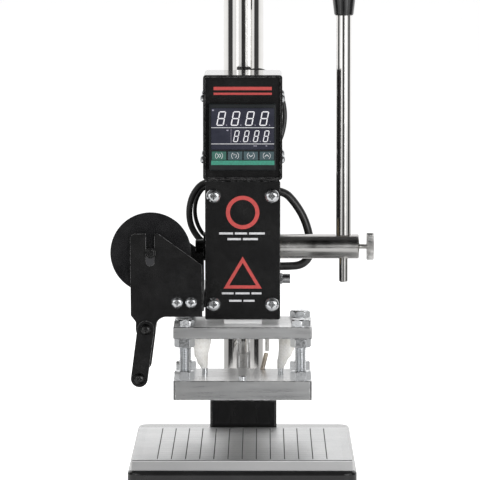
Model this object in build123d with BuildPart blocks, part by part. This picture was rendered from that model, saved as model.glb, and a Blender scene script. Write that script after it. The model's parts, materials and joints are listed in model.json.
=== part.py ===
"""Bench hot foil stamper: a head on a round column, a lever that drives a heated plate down by rack and
pinion, a foil reel holder on the left and a temperature controller on top.

Millimetres. X to the right, +Z up, the front faces -Y. x = 0 and y = 0 lie on the ram's axis and z = 0 is
the surface that the machine stands on.
"""
from build123d import *
from math import atan2, cos, pi, radians, sin, sqrt, tan
import os

os.makedirs("parts", exist_ok=True)

# ---------------------------------------------------------------- driving dimensions
RUN = 0.05                       # radial running clearance of shafts and slides

# base and column
FOOT_H = 5.0
BASE_W, BASE_Y0, BASE_Y1 = 162.0, -113.0, 150.0
BASE_TOP = 35.0
PLATEN_W, PLATEN_D, PLATEN_T = 156.0, 180.0, 7.5
PLATEN_Y0 = -110.0
PLATEN_TOP = BASE_TOP + PLATEN_T
GRID = 10.0                      # pitch of the engraved lines on the platen
COLUMN_R, COLUMN_Y = 15.0, 105.0
COLUMN_Z0, COLUMN_TOP = 39.0, 398.0
SOCKET_W, SOCKET_TOP = 50.0, 61.5
SOCKET_BOLT_PITCH, SET_SCREW_Z = 34.0, 50.0
PLATEN_BOLT_X, PLATEN_BOLT_Y = 132.0, 150.0
PLATEN_Y = PLATEN_Y0 + PLATEN_D / 2

# ram and plates
RAM_W = 28.0
RAM_TOP = 231.0
UPPER_Z0, UPPER_T = 120.8, 8.5
UPPER_Z1 = UPPER_Z0 + UPPER_T
HEAT_Z0, HEAT_T = 76.4, 14.0
HEAT_Z1 = HEAT_Z0 + HEAT_T
PLATE_W, PLATE_D = 100.0, 80.0
BOLT_X, BOLT_Y, BOLT_R = 42.0, 32.0, 4.0
RAM_SCREW_PITCH, DIE_SCREW_Y = 14.0, -PLATE_D / 2 + 4
NUT_AF, NUT_H, HEX_HEAD_H = 13.0, 6.5, 5.3

# rack and pinion
MODULE, TEETH = 1.5, 20
PITCH_R = MODULE * TEETH / 2
ADDENDUM, DEDENDUM = 1.35, 1.75
BACKLASH = 0.16                  # taken off each flank
RACK_PITCH_Y = RAM_W / 2 - ADDENDUM
PINION_Y, PINION_Z = RACK_PITCH_Y + PITCH_R, 182.2
GEAR_HALF = 10.0
SHAFT_R = 9.0
SHAFT_X0, SHAFT_X1 = -27.5, 85.3
GEAR_BORE_R = 18.0
KEY_HALF_W, KEY_HALF_L, KEY_FLOOR, KEY_TOP = 3.0, 9.0, 5.5, 11.3

# lever
HANDLE_X, ROD_R, STUD_R = 73.9, 5.5, 3.2
STUD_Z0 = 156.0
FLAT_Z = PINION_Z + SHAFT_R - 0.6    # flat on the shaft that the rod's shoulder sits on
ROD_Z0 = FLAT_Z + 0.02
GRIP_Z0, GRIP_L = 352.0, 84.0
THUMB_X0, THUMB_T, THUMB_R = 90.8, 5.4, 9.9

# head
HEAD_W, HEAD_Y0, HEAD_Y1 = 53.0, -22.0, 50.0
HEAD_Z0, HEAD_Z1 = 134.0, 234.6
ARM_W, ARM_Z0, ARM_Z1 = 40.0, 150.0, 232.0
CLAMP_R = 27.0
EAR_W, EAR_Y1 = 28.0, 146.0
CLAMP_BOLT_Y, CLAMP_BOLT_Z = 137.0, (166.0, 216.0)
COVER_W, COVER_Z0, COVER_Z1, COVER_T = 54.4, 133.4, 234.0, 3.0
COVER_SCREWS = [(x, z) for x in (-21.1, 21.1) for z in (144.6, 223.3)]
GIB_T, GIB_Y, GIB_Y1, GIB_Z0, GIB_Z1 = 3.0, 10.0, 8.0, 138.0, 230.0
GIB_SCREW_Z, GIB_HEAD_L = 161.0, 5.2

# control box
BOX_W, BOX_Y0, BOX_Y1 = 57.2, -27.0, 61.0
BOX_Z0, BOX_Z1, BOX_WALL = 234.8, 310.6, 1.5
FRONT_PANEL_Y, BACK_PANEL_Y = -24.5, 58.0
CTRL_Z, CTRL_W, CTRL_BODY_W = 266.2, 48.0, 45.0
CTRL_Y0, BEZEL_T, CTRL_BODY_D = -33.0, 8.5, 62.0
KEY_W, KEY_H, KEY_Z = 10.4, 6.1, 252.8
KEY_X = (-17.0, -5.4, 5.9, 17.4)
SIDE_SCREW_Y, SIDE_SCREW_Z = (-18.0, 52.0), (249.2, 293.6)
BOX_SCREW_X, BOX_SCREW_Y = 16.0, 32.0
WINDOW_HALF, WINDOW_Z0, WINDOW_Z1 = 22.8, 257.1, 287.1
INLET_Z, INLET_SCREW_X, INLET_HALF_W, INLET_HALF_H = 256.0, 20.0, 13.4, 9.6
ROCKER_X, ROCKER_Z, ROCKER_HALF_W, ROCKER_HALF_H = 12.3, 291.0, 9.7, 6.5
OUTLET_X, OUTLET_Z = -14.0, 287.0
RELAY_X0, RELAY_X1, RELAY_Y0, RELAY_Y1, RELAY_H = -25.0, -3.0, 40.0, 55.0, 7.5

# foil holder and guide arm
HOLD_Y, HOLD_T = 49.0, 3.0
HOLD_SCREWS = ((-46.9, 148.6), (-36.9, 148.6))
REEL_X, REEL_Z, CORE_R, AXLE_R = -65.9, 184.0, 12.5, 2.5
FRONT_FLANGE_R, REAR_FLANGE_R, FLANGE_T, CORE_Y = 29.0, 20.0, 2.0, 46.0
SLOT_X, SLOT_R, SLOT_Z = -66.2, 3.0, 177.7
PIVOT_X, PIVOT_Z = -69.4, 129.4
ARM_LENGTH, ARM_LEAN = 36.0, 7.4
ARM_HALF, ARM_T = 6.1, 2.5
BAR_X0, BAR_Z0, BAR_Z1 = -54.0, 142.0, 155.2
BAR_SCREW_Y, BAR_SCREW_Z = (-5.0, 32.0), 148.6


# ---------------------------------------------------------------- helpers
def save(builder, name):
    """Label a finished piece and write its STEP file."""
    builder.part.label = name
    export_step(builder.part, f"parts/{name}.step")


def along(direction):
    """Rotation that turns +Z to the named direction."""
    turns = {"+z": (0, 0, 0), "-z": (180, 0, 0), "+x": (0, 90, 0), "-x": (0, -90, 0),
             "-y": (90, 0, 0), "+y": (-90, 0, 0)}
    return turns[direction]


def places(points, direction):
    """Locations at the points, with +Z turned to the direction."""
    return Locations(*[Location(point, along(direction)) for point in points])


def box_at(x0, x1, y0, y1, z0, z1, mode=Mode.ADD):
    """A block between two corners."""
    with Locations(((x0 + x1) / 2, (y0 + y1) / 2, (z0 + z1) / 2)):
        Box(x1 - x0, y1 - y0, z1 - z0, mode=mode)


def rod_at(base, direction, radius, length, mode=Mode.ADD):
    """A round bar from its base point along the named direction."""
    with places([base], direction):
        Cylinder(radius, length, align=(Align.CENTER, Align.CENTER, Align.MIN), mode=mode)


def pan_screw(head_r, head_h, shank_r, shank_l):
    """Cross-recessed pan head screw, head standing on z = 0 and shank below."""
    with BuildPart() as screw:
        with BuildSketch(Plane.XZ):
            with BuildLine():
                Polyline((0, -shank_l), (shank_r, -shank_l), (shank_r, 0), (head_r, 0),
                         (head_r, head_h * 0.35))
                Spline((head_r, head_h * 0.35), (head_r * 0.72, head_h * 0.86), (0, head_h))
                Line((0, head_h), (0, -shank_l))
            make_face()
        revolve(axis=Axis.Z)
        for turn in (0, 90):
            with Locations(Location((0, 0, head_h), (0, 0, turn))):
                Box(head_r * 1.0, head_r * 0.22, head_h * 1.0, mode=Mode.SUBTRACT)
    return screw.part


def cap_screw(head_r, head_h, shank_r, shank_l, socket_af):
    """Socket head cap screw, head standing on z = 0 and shank below."""
    with BuildPart() as screw:
        Cylinder(head_r, head_h, align=(Align.CENTER, Align.CENTER, Align.MIN))
        chamfer(screw.edges().sort_by(Axis.Z)[-1], head_h * 0.08)
        Cylinder(shank_r, shank_l, align=(Align.CENTER, Align.CENTER, Align.MAX))
        with BuildSketch(Plane.XY.offset(head_h * 0.5)):
            RegularPolygon(socket_af / sqrt(3), 6)
        extrude(amount=head_h, mode=Mode.SUBTRACT)
    return screw.part


def hex_nut(across_flats, height, hole_r):
    """Chamfered hexagon nut standing on z = 0."""
    with BuildPart() as nut:
        with BuildSketch():
            RegularPolygon(across_flats / sqrt(3), 6)
            if hole_r:
                Circle(hole_r, mode=Mode.SUBTRACT)
        extrude(amount=height)
        with BuildPart(mode=Mode.INTERSECT):
            Cylinder(across_flats / sqrt(3) - 0.1, height, align=(Align.CENTER, Align.CENTER, Align.MIN))
            chamfer(edges(), 0.7)
    return nut.part


def arc_radii(points):
    """Radius of the arc at each corner of a cable's route, as large as its two runs allow."""
    radii = []
    for before, corner, after in zip(points, points[1:], points[2:]):
        first, second = Vector(*corner) - Vector(*before), Vector(*after) - Vector(*corner)
        turn = radians(first.get_angle(second))
        radii.append(0.45 * min(first.length, second.length) / tan(turn / 2))
    return radii


def cable(name, points, diameter):
    """A round cable of straight runs joined by tangent arcs, with its volume compared with its length."""
    radii = arc_radii(points)
    with BuildPart() as tube:
        with BuildLine() as route:
            FilletPolyline(*points, radius=radii)
        with BuildSketch(Plane(route.line @ 0, z_dir=route.line % 0)):
            Circle(diameter / 2)
        sweep(transition=Transition.ROUND)
    length = sum(edge.length for edge in route.line.edges())
    expected = pi * diameter ** 2 / 4 * length
    print(f"{name}: length {length:.1f}, volume ratio {tube.part.volume / expected:.4f}, radii",
          [round(radius, 1) for radius in radii])
    save(tube, name)


def gear_points():
    """Outline of the pinion, with a tooth on the local x axis and the backlash taken off each flank."""
    base_r = PITCH_R * cos(radians(20))
    half_pitch = pi / (2 * TEETH) - BACKLASH / PITCH_R
    tip_r, root_r = PITCH_R + ADDENDUM, PITCH_R - DEDENDUM
    flank = [(root_r, half_pitch + tan(radians(20)) - radians(20))]
    for step in range(5):
        radius = base_r + (tip_r - base_r) * step / 4
        pressure = atan2(sqrt(max(radius ** 2 - base_r ** 2, 0)), base_r)
        half = half_pitch + (tan(radians(20)) - radians(20)) - (tan(pressure) - pressure)
        flank.append((radius, half))
    points = []
    for tooth in range(TEETH):
        middle = 2 * pi * tooth / TEETH
        sides = [(radius, middle - half) for radius, half in flank]
        sides += [(radius, middle + half) for radius, half in reversed(flank)]
        points += [(radius * cos(angle), radius * sin(angle)) for radius, angle in sides]
    return points


PINION_PLANE = Plane(origin=(-GEAR_HALF, PINION_Y, PINION_Z), x_dir=(0, 1, 0), z_dir=(1, 0, 0))


# ---------------------------------------------------------------- base and column
with BuildPart() as base_casting:
    with BuildSketch(Plane.XY.offset(FOOT_H)):
        with Locations((0, (BASE_Y0 + BASE_Y1) / 2)):
            RectangleRounded(BASE_W, BASE_Y1 - BASE_Y0, 9)
    extrude(amount=BASE_TOP - FOOT_H)
    fillet(base_casting.edges().group_by(Axis.Z)[-1], 3.0)
    rib = 8.0
    for y0, y1 in ((BASE_Y0 + rib, PLATEN_Y - rib), (PLATEN_Y, BASE_Y1 - 74), (BASE_Y1 - 16, BASE_Y1 - rib)):
        box_at(-BASE_W / 2 + 34, BASE_W / 2 - 34, y0, y1, FOOT_H, BASE_TOP - 9, Mode.SUBTRACT)
    with Locations((0, COLUMN_Y, FOOT_H)):
        with GridLocations(SOCKET_BOLT_PITCH, SOCKET_BOLT_PITCH, 2, 2):
            Cylinder(3.3, 40, align=(Align.CENTER, Align.CENTER, Align.MIN), mode=Mode.SUBTRACT)
            Cylinder(5.5, 14, align=(Align.CENTER, Align.CENTER, Align.MIN), mode=Mode.SUBTRACT)
    with Locations((0, PLATEN_Y, FOOT_H)):
        with GridLocations(PLATEN_BOLT_X, PLATEN_BOLT_Y, 2, 2):
            Cylinder(2.75, 40, align=(Align.CENTER, Align.CENTER, Align.MIN), mode=Mode.SUBTRACT)
            Cylinder(5.0, 17, align=(Align.CENTER, Align.CENTER, Align.MIN), mode=Mode.SUBTRACT)
save(base_casting, "base_casting")

FOOT_SPOTS = [(x, y) for x in (-BASE_W / 2 + 16, BASE_W / 2 - 16) for y in (BASE_Y0 + 40, BASE_Y1 - 18)]
foot_places = [(x, y, 0) for x, y in FOOT_SPOTS]
with BuildPart() as base_feet:
    with places(foot_places, "+z"):
        Cone(9.5, 11, FOOT_H, align=(Align.CENTER, Align.CENTER, Align.MIN))
save(base_feet, "base_feet")

with BuildPart() as platen:
    box_at(-PLATEN_W / 2, PLATEN_W / 2, PLATEN_Y0, PLATEN_Y0 + PLATEN_D, BASE_TOP, PLATEN_TOP)
    chamfer(platen.edges().group_by(Axis.Z)[-1], 0.5)
    groove_w, groove_d = 0.6, 0.3
    for step in range(-6, 7):
        x = step * GRID
        box_at(x - groove_w / 2, x + groove_w / 2, PLATEN_Y0 + 6, PLATEN_Y0 + PLATEN_D - 6,
               PLATEN_TOP - groove_d, PLATEN_TOP + 1, Mode.SUBTRACT)
    with Locations((0, PLATEN_Y, BASE_TOP)):
        with GridLocations(PLATEN_BOLT_X, PLATEN_BOLT_Y, 2, 2):
            Cylinder(2.1, 5, align=(Align.CENTER, Align.CENTER, Align.MIN), mode=Mode.SUBTRACT)
save(platen, "platen")

with BuildPart() as column_socket:
    box_at(-SOCKET_W / 2, SOCKET_W / 2, COLUMN_Y - 25, COLUMN_Y + 25, BASE_TOP, SOCKET_TOP)
    chamfer(column_socket.edges().filter_by(Axis.Z), 1.5)
    chamfer(column_socket.edges().group_by(Axis.Z)[-1], 0.8)
    rod_at((0, COLUMN_Y, COLUMN_Z0), "+z", COLUMN_R, 60, Mode.SUBTRACT)
    with Locations((0, COLUMN_Y, BASE_TOP)):
        with GridLocations(SOCKET_BOLT_PITCH, SOCKET_BOLT_PITCH, 2, 2):
            Cylinder(3.0, 16, align=(Align.CENTER, Align.CENTER, Align.MIN), mode=Mode.SUBTRACT)
    rod_at((0, COLUMN_Y + COLUMN_R - 1, SET_SCREW_Z), "+y", 3.0, 20, Mode.SUBTRACT)
save(column_socket, "column_socket")

platen_bolt = cap_screw(4.25, 5.0, 2.0, 17.0, 4.0)
socket_bolt = cap_screw(5.0, 6.0, 2.95, 27.0, 5.0)
with BuildPart() as base_bolts:
    with Locations((0, PLATEN_Y, FOOT_H + 17)):
        with GridLocations(PLATEN_BOLT_X, PLATEN_BOLT_Y, 2, 2):
            with Locations(Location((0, 0, 0), along("-z"))):
                add(platen_bolt)
    with Locations((0, COLUMN_Y, FOOT_H + 14)):
        with GridLocations(SOCKET_BOLT_PITCH, SOCKET_BOLT_PITCH, 2, 2):
            with Locations(Location((0, 0, 0), along("-z"))):
                add(socket_bolt)
    rod_at((0, COLUMN_Y + COLUMN_R, SET_SCREW_Z), "+y", 2.95, 9)
    with BuildSketch(Plane.XZ.offset(-(COLUMN_Y + COLUMN_R + 5))):
        with Locations((0, SET_SCREW_Z)):
            RegularPolygon(3 / sqrt(3), 6)
    extrude(amount=-6, mode=Mode.SUBTRACT)
save(base_bolts, "base_bolts")

with BuildPart() as column:
    rod_at((0, COLUMN_Y, COLUMN_Z0), "+z", COLUMN_R, COLUMN_TOP - COLUMN_Z0)
    chamfer(column.edges().sort_by(Axis.Z)[-1], 1.0)
save(column, "column")

with BuildPart() as column_cap:
    with BuildSketch(Plane.XZ.offset(-COLUMN_Y)):
        with BuildLine():
            Polyline((0, COLUMN_TOP + 3), (0, COLUMN_TOP), (COLUMN_R, COLUMN_TOP),
                     (COLUMN_R, COLUMN_TOP + 1.4))
            ThreePointArc((COLUMN_R, COLUMN_TOP + 1.4), (COLUMN_R - 0.6, COLUMN_TOP + 2.6),
                          (COLUMN_R - 2, COLUMN_TOP + 3))
            Line((COLUMN_R - 2, COLUMN_TOP + 3), (0, COLUMN_TOP + 3))
        make_face()
    revolve(axis=Axis((0, COLUMN_Y, 0), (0, 0, 1)))
save(column_cap, "column_cap")


# ---------------------------------------------------------------- head
with BuildPart() as head_body:
    box_at(-HEAD_W / 2, HEAD_W / 2, HEAD_Y0, HEAD_Y1, HEAD_Z0, HEAD_Z1)
    chamfer(head_body.edges().filter_by(Axis.Z), 1.0)
    box_at(-ARM_W / 2, ARM_W / 2, HEAD_Y1 - 5, COLUMN_Y, ARM_Z0, ARM_Z1)
    rod_at((0, COLUMN_Y, ARM_Z0), "+z", CLAMP_R, ARM_Z1 - ARM_Z0)
    box_at(-EAR_W / 2, EAR_W / 2, COLUMN_Y, EAR_Y1, ARM_Z0, ARM_Z1)
    rod_at((0, COLUMN_Y, ARM_Z0 - 1), "+z", COLUMN_R + RUN, ARM_Z1, Mode.SUBTRACT)
    box_at(-1.5, 1.5, COLUMN_Y, EAR_Y1 + 1, ARM_Z0 - 1, ARM_Z1 + 1, Mode.SUBTRACT)
    for z in CLAMP_BOLT_Z:
        rod_at((-EAR_W / 2 - 1, CLAMP_BOLT_Y, z), "+x", 3.3, EAR_W + 2, Mode.SUBTRACT)
        rod_at((EAR_W / 2, CLAMP_BOLT_Y, z), "-x", 5.5, 6.2, Mode.SUBTRACT)
    channel = RAM_W / 2 + RUN
    box_at(-channel, channel, -channel, channel, HEAD_Z0 - 1, HEAD_Z1 + 1, Mode.SUBTRACT)
    box_at(channel - 0.1, RAM_W / 2 + GIB_T + 0.1, -GIB_Y - RUN, GIB_Y1 + RUN, GIB_Z0 - 0.1, GIB_Z1 + 0.1,
           Mode.SUBTRACT)
    rod_at((-12, PINION_Y, PINION_Z), "+x", GEAR_BORE_R, 60, Mode.SUBTRACT)
    rod_at((-60, PINION_Y, PINION_Z), "+x", 12.0, 60, Mode.SUBTRACT)
    rod_at((RAM_W / 2, 0, GIB_SCREW_Z), "+x", 2.05, 20, Mode.SUBTRACT)
    with places([(x, HEAD_Y0, z) for x, z in COVER_SCREWS], "+y"):
        Cylinder(2.5, 10, align=(Align.CENTER, Align.CENTER, Align.MIN), mode=Mode.SUBTRACT)
    with places([(-HEAD_W / 2, y, BAR_SCREW_Z) for y in BAR_SCREW_Y], "+x"):
        Cylinder(2.5, 9, align=(Align.CENTER, Align.CENTER, Align.MIN), mode=Mode.SUBTRACT)
    with places([(x, BOX_SCREW_Y, HEAD_Z1) for x in (-BOX_SCREW_X, BOX_SCREW_X)], "-z"):
        Cylinder(2.0, 9, align=(Align.CENTER, Align.CENTER, Align.MIN), mode=Mode.SUBTRACT)
save(head_body, "head_body")

with BuildPart() as head_cover:
    box_at(-COVER_W / 2, COVER_W / 2, HEAD_Y0 - COVER_T, HEAD_Y0, COVER_Z0, COVER_Z1)
    fillet(head_cover.edges().filter_by(Axis.Y), 1.4)
    chamfer(head_cover.edges().group_by(Axis.Y)[0], 0.4)
    with places([(x, HEAD_Y0, z) for x, z in COVER_SCREWS], "-y"):
        Cylinder(2.7, 5, align=(Align.CENTER, Align.CENTER, Align.MIN), mode=Mode.SUBTRACT)
save(head_cover, "head_cover")

cover_screw = pan_screw(5.2, 3.4, 2.45, 11.0)
with BuildPart() as cover_screws:
    with places([(x, HEAD_Y0 - COVER_T, z) for x, z in COVER_SCREWS], "-y"):
        add(cover_screw)
save(cover_screws, "cover_screws")

with BuildPart() as ram_gib:
    box_at(RAM_W / 2 + RUN, RAM_W / 2 + GIB_T, -GIB_Y, GIB_Y1, GIB_Z0, GIB_Z1)
save(ram_gib, "ram_gib")

gib_nut = hex_nut(7.0, 2.7, 2.05)
with BuildPart() as gib_screw:
    rod_at((RAM_W / 2 + GIB_T + 0.1, 0, GIB_SCREW_Z), "+x", 2.0, 14)
    rod_at((HEAD_W / 2 + 2.8, 0, GIB_SCREW_Z), "+x", 3.5, GIB_HEAD_L)
    with BuildSketch(Plane.YZ.offset(HEAD_W / 2 + 2.8 + GIB_HEAD_L)):
        with Locations((0, GIB_SCREW_Z)):
            RegularPolygon(3 / sqrt(3), 6)
    extrude(amount=-2.4, mode=Mode.SUBTRACT)
    with places([(HEAD_W / 2 + 0.02, 0, GIB_SCREW_Z)], "+x"):
        add(gib_nut)
save(gib_screw, "gib_screw")

clamp_bolt = cap_screw(5.0, 6.0, 2.95, 20.0, 5.0)
bar_bolt = cap_screw(4.25, 5.0, 2.45, 27.0, 4.0)
with BuildPart() as head_bolts:
    with places([(EAR_W / 2 - 6.2, CLAMP_BOLT_Y, z) for z in CLAMP_BOLT_Z], "+x"):
        add(clamp_bolt)
    with places([(BAR_X0 + 6, y, BAR_SCREW_Z) for y in BAR_SCREW_Y], "-x"):
        add(bar_bolt)
save(head_bolts, "head_bolts")

with BuildPart() as pinion_bushes:
    for x0, x1, outer in ((-HEAD_W / 2, -12.0, 11.98), (14.6, HEAD_W / 2, GEAR_BORE_R - 0.02)):
        rod_at((x0, PINION_Y, PINION_Z), "+x", outer, x1 - x0)
    rod_at((-HEAD_W / 2 - 1, PINION_Y, PINION_Z), "+x", SHAFT_R + RUN, HEAD_W + 2, Mode.SUBTRACT)
save(pinion_bushes, "pinion_bushes")


# ---------------------------------------------------------------- lever
with BuildPart() as pinion_shaft:
    rod_at((SHAFT_X0, PINION_Y, PINION_Z), "+x", SHAFT_R, SHAFT_X1 - SHAFT_X0)
    chamfer(pinion_shaft.edges().group_by(Axis.X)[-1], 0.8)
    box_at(-KEY_HALF_L, KEY_HALF_L, PINION_Y - KEY_HALF_W, PINION_Y + KEY_HALF_W, PINION_Z + KEY_FLOOR,
           PINION_Z + KEY_TOP, Mode.SUBTRACT)
    rod_at((SHAFT_X0 - 1, PINION_Y, PINION_Z), "+x", 3.02, 19, Mode.SUBTRACT)
    rod_at((HANDLE_X + STUD_R - 1, PINION_Y, PINION_Z), "+x", 2.05, 20, Mode.SUBTRACT)
    rod_at((HANDLE_X, PINION_Y, PINION_Z - 12), "+z", STUD_R + 0.02, 24, Mode.SUBTRACT)
    box_at(HANDLE_X - 6, HANDLE_X + 6, PINION_Y - 10, PINION_Y + 10, FLAT_Z, PINION_Z + 12, Mode.SUBTRACT)
save(pinion_shaft, "pinion_shaft")

with BuildPart() as pinion_gear:
    with BuildSketch(PINION_PLANE):
        with BuildLine():
            Polyline(*gear_points(), close=True)
        make_face()
        Circle(SHAFT_R + 0.02, mode=Mode.SUBTRACT)
    extrude(amount=2 * GEAR_HALF)
    box_at(-GEAR_HALF - 1, GEAR_HALF + 1, PINION_Y - KEY_HALF_W, PINION_Y + KEY_HALF_W, PINION_Z + 5,
           PINION_Z + KEY_TOP, Mode.SUBTRACT)
save(pinion_gear, "pinion_gear")

with BuildPart() as pinion_key:
    fit = 0.02
    box_at(-KEY_HALF_L + 0.1, KEY_HALF_L - 0.1, PINION_Y - KEY_HALF_W + fit, PINION_Y + KEY_HALF_W - fit,
           PINION_Z + KEY_FLOOR + fit, PINION_Z + KEY_TOP - 0.1)
save(pinion_key, "pinion_key")

end_screw = cap_screw(5.0, 6.0, 3.0, 17.0, 5.0)
with BuildPart() as shaft_end_screw:
    rod_at((SHAFT_X0 - 1.5, PINION_Y, PINION_Z), "+x", 10.5, 1.48)
    rod_at((SHAFT_X0 - 2, PINION_Y, PINION_Z), "+x", 3.2, 3, Mode.SUBTRACT)
    with places([(SHAFT_X0 - 1.52, PINION_Y, PINION_Z)], "-x"):
        add(end_screw)
save(shaft_end_screw, "shaft_end_screw")

with BuildPart() as handle_rod:
    rod_at((HANDLE_X, PINION_Y, STUD_Z0), "+z", STUD_R, ROD_Z0 - STUD_Z0)
    rod_at((HANDLE_X, PINION_Y, ROD_Z0), "+z", ROD_R, GRIP_Z0 + 60 - ROD_Z0)
    chamfer(handle_rod.edges().group_by(Axis.Z)[0], 0.7)
save(handle_rod, "handle_rod")

GRIP_BORE_R, GRIP_BORE_TOP = ROD_R + 0.02, GRIP_Z0 + 60.1
with BuildPart() as handle_grip:
    with BuildSketch(Plane((HANDLE_X, PINION_Y, 0), x_dir=(1, 0, 0), z_dir=(0, -1, 0))):
        with BuildLine():
            Polyline((0, GRIP_Z0 + GRIP_L), (0, GRIP_BORE_TOP), (GRIP_BORE_R, GRIP_BORE_TOP),
                     (GRIP_BORE_R, GRIP_Z0), (6.4, GRIP_Z0), (7.1, GRIP_Z0 + 0.8))
            ThreePointArc((7.1, GRIP_Z0 + 0.8), (10.4, GRIP_Z0 + 31), (12.4, GRIP_Z0 + 62))
            Spline((12.4, GRIP_Z0 + 62), (10.4, GRIP_Z0 + 76), (0, GRIP_Z0 + GRIP_L),
                   tangents=((0, 1), (-1, 0)))
        make_face()
    revolve(axis=Axis((HANDLE_X, PINION_Y, 0), (0, 0, 1)))
save(handle_grip, "handle_grip")

with BuildPart() as thumbscrew:
    rod_at((HANDLE_X + STUD_R + 0.4, PINION_Y, PINION_Z), "+x", 2.0, THUMB_X0 - HANDLE_X - STUD_R)
    with BuildSketch(Plane.YZ.offset(THUMB_X0)):
        with Locations((PINION_Y, PINION_Z)):
            Circle(THUMB_R)
            with PolarLocations(THUMB_R + 0.35, 48):
                Circle(0.75, mode=Mode.SUBTRACT)
    extrude(amount=THUMB_T)
save(thumbscrew, "thumbscrew")


# ---------------------------------------------------------------- ram and plates
with BuildPart() as ram:
    box_at(-RAM_W / 2, RAM_W / 2, -RAM_W / 2, RAM_W / 2, UPPER_Z1, RAM_TOP)
    chamfer(ram.edges().filter_by(Axis.Z), 0.6)
    pitch = pi * MODULE
    gap_root = pitch / 4 + BACKLASH - DEDENDUM * tan(radians(20))
    gap_mouth = pitch / 4 + BACKLASH + (ADDENDUM + 1) * tan(radians(20))
    for step in range(-3, 10):
        z = PINION_Z + step * pitch
        with BuildSketch(Plane.YZ.offset(-RAM_W / 2 - 1)):
            with BuildLine():
                Polyline((RACK_PITCH_Y - DEDENDUM, z - gap_root), (RAM_W / 2 + 1, z - gap_mouth),
                         (RAM_W / 2 + 1, z + gap_mouth), (RACK_PITCH_Y - DEDENDUM, z + gap_root), close=True)
            make_face()
        extrude(amount=RAM_W + 2, mode=Mode.SUBTRACT)
    with Locations((0, 0, UPPER_Z1)):
        with GridLocations(RAM_SCREW_PITCH, RAM_SCREW_PITCH, 2, 2):
            Cylinder(2.5, 14, align=(Align.CENTER, Align.CENTER, Align.MIN), mode=Mode.SUBTRACT)
save(ram, "ram")

with BuildPart() as upper_plate:
    box_at(-PLATE_W / 2, PLATE_W / 2, -PLATE_D / 2, PLATE_D / 2, UPPER_Z0, UPPER_Z1)
    chamfer(upper_plate.edges(), 0.5)
    with Locations((0, 0, UPPER_Z0)):
        with GridLocations(2 * BOLT_X, 2 * BOLT_Y, 2, 2):
            Cylinder(BOLT_R + 0.25, 30, mode=Mode.SUBTRACT)
        with GridLocations(RAM_SCREW_PITCH, RAM_SCREW_PITCH, 2, 2):
            Cylinder(2.75, 30, mode=Mode.SUBTRACT)
            Cylinder(4.6, 5.2, align=(Align.CENTER, Align.CENTER, Align.MIN), mode=Mode.SUBTRACT)
save(upper_plate, "upper_plate")

ram_screw = cap_screw(4.25, 5.0, 2.45, 14.0, 4.0)
die_screw = cap_screw(2.75, 3.0, 1.45, 7.0, 2.5)
with BuildPart() as ram_screws:
    with Locations((0, 0, UPPER_Z0 + 5.2)):
        with GridLocations(RAM_SCREW_PITCH, RAM_SCREW_PITCH, 2, 2):
            with Locations(Location((0, 0, 0), along("-z"))):
                add(ram_screw)
    with Locations((0, DIE_SCREW_Y, HEAT_Z1)):
        add(die_screw)
save(ram_screws, "ram_screws")

with BuildPart() as levelling_bolt:
    add(hex_nut(NUT_AF, HEX_HEAD_H, 0))
    Cylinder(BOLT_R, 48, align=(Align.CENTER, Align.CENTER, Align.MAX))
with BuildPart() as levelling_bolts:
    with Locations((0, 0, UPPER_Z1)):
        with GridLocations(2 * BOLT_X, 2 * BOLT_Y, 2, 2):
            add(levelling_bolt.part)
save(levelling_bolts, "levelling_bolts")

levelling_nut = hex_nut(NUT_AF, NUT_H, BOLT_R + 0.05)
with BuildPart() as levelling_nuts:
    for z in (UPPER_Z0 - NUT_H, HEAT_Z1):
        with Locations((0, 0, z)):
            with GridLocations(2 * BOLT_X, 2 * BOLT_Y, 2, 2):
                add(levelling_nut)
save(levelling_nuts, "levelling_nuts")

HEATER_X, HEATER_R, HEATER_Z = 27.7, 5.0, HEAT_Z0 + 7.0
PROBE_FOOT, PROBE_TOP, PROBE_R, PROBE_L = (14.3, 34.0, HEAT_Z1), (17.4, 34.0, 103.0), 1.6, 15.5
with BuildPart() as heating_plate:
    box_at(-PLATE_W / 2, PLATE_W / 2, -PLATE_D / 2, PLATE_D / 2, HEAT_Z0, HEAT_Z1)
    chamfer(heating_plate.edges().filter_by(Axis.Z), 1.5)
    chamfer(heating_plate.edges().group_by(Axis.Z)[-1], 0.4)
    with Locations((0, 0, HEAT_Z1 + 1)):
        with GridLocations(2 * BOLT_X, 2 * BOLT_Y, 2, 2):
            Cylinder(BOLT_R + 0.05, 12, align=(Align.CENTER, Align.CENTER, Align.MAX), mode=Mode.SUBTRACT)
        with GridLocations(2 * HEATER_X, 1, 2, 1):
            Cylinder(2.2, 5.2, align=(Align.CENTER, Align.CENTER, Align.MAX), mode=Mode.SUBTRACT)
    with places([(x, PLATE_D / 2 + 1, HEATER_Z) for x in (-HEATER_X, HEATER_X)], "-y"):
        Cylinder(HEATER_R + 0.02, 72, align=(Align.CENTER, Align.CENTER, Align.MIN), mode=Mode.SUBTRACT)
    rod_at((0, DIE_SCREW_Y, HEAT_Z1 - 8), "+z", 1.5, 20, Mode.SUBTRACT)
    rod_at((PROBE_FOOT[0], PROBE_FOOT[1], HEAT_Z1 - 8), "+z", 2.6, 20, Mode.SUBTRACT)
save(heating_plate, "heating_plate")

with BuildPart() as cartridge_heaters:
    with places([(x, PLATE_D / 2 - 1, HEATER_Z) for x in (-HEATER_X, HEATER_X)], "-y"):
        Cylinder(HEATER_R, 69, align=(Align.CENTER, Align.CENTER, Align.MIN))
    with places([(x, 0, HEATER_Z) for x in (-HEATER_X, HEATER_X)], "+z"):
        Cylinder(2.1, HEATER_R + 9.2, align=(Align.CENTER, Align.CENTER, Align.MIN))
save(cartridge_heaters, "cartridge_heaters")

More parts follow.
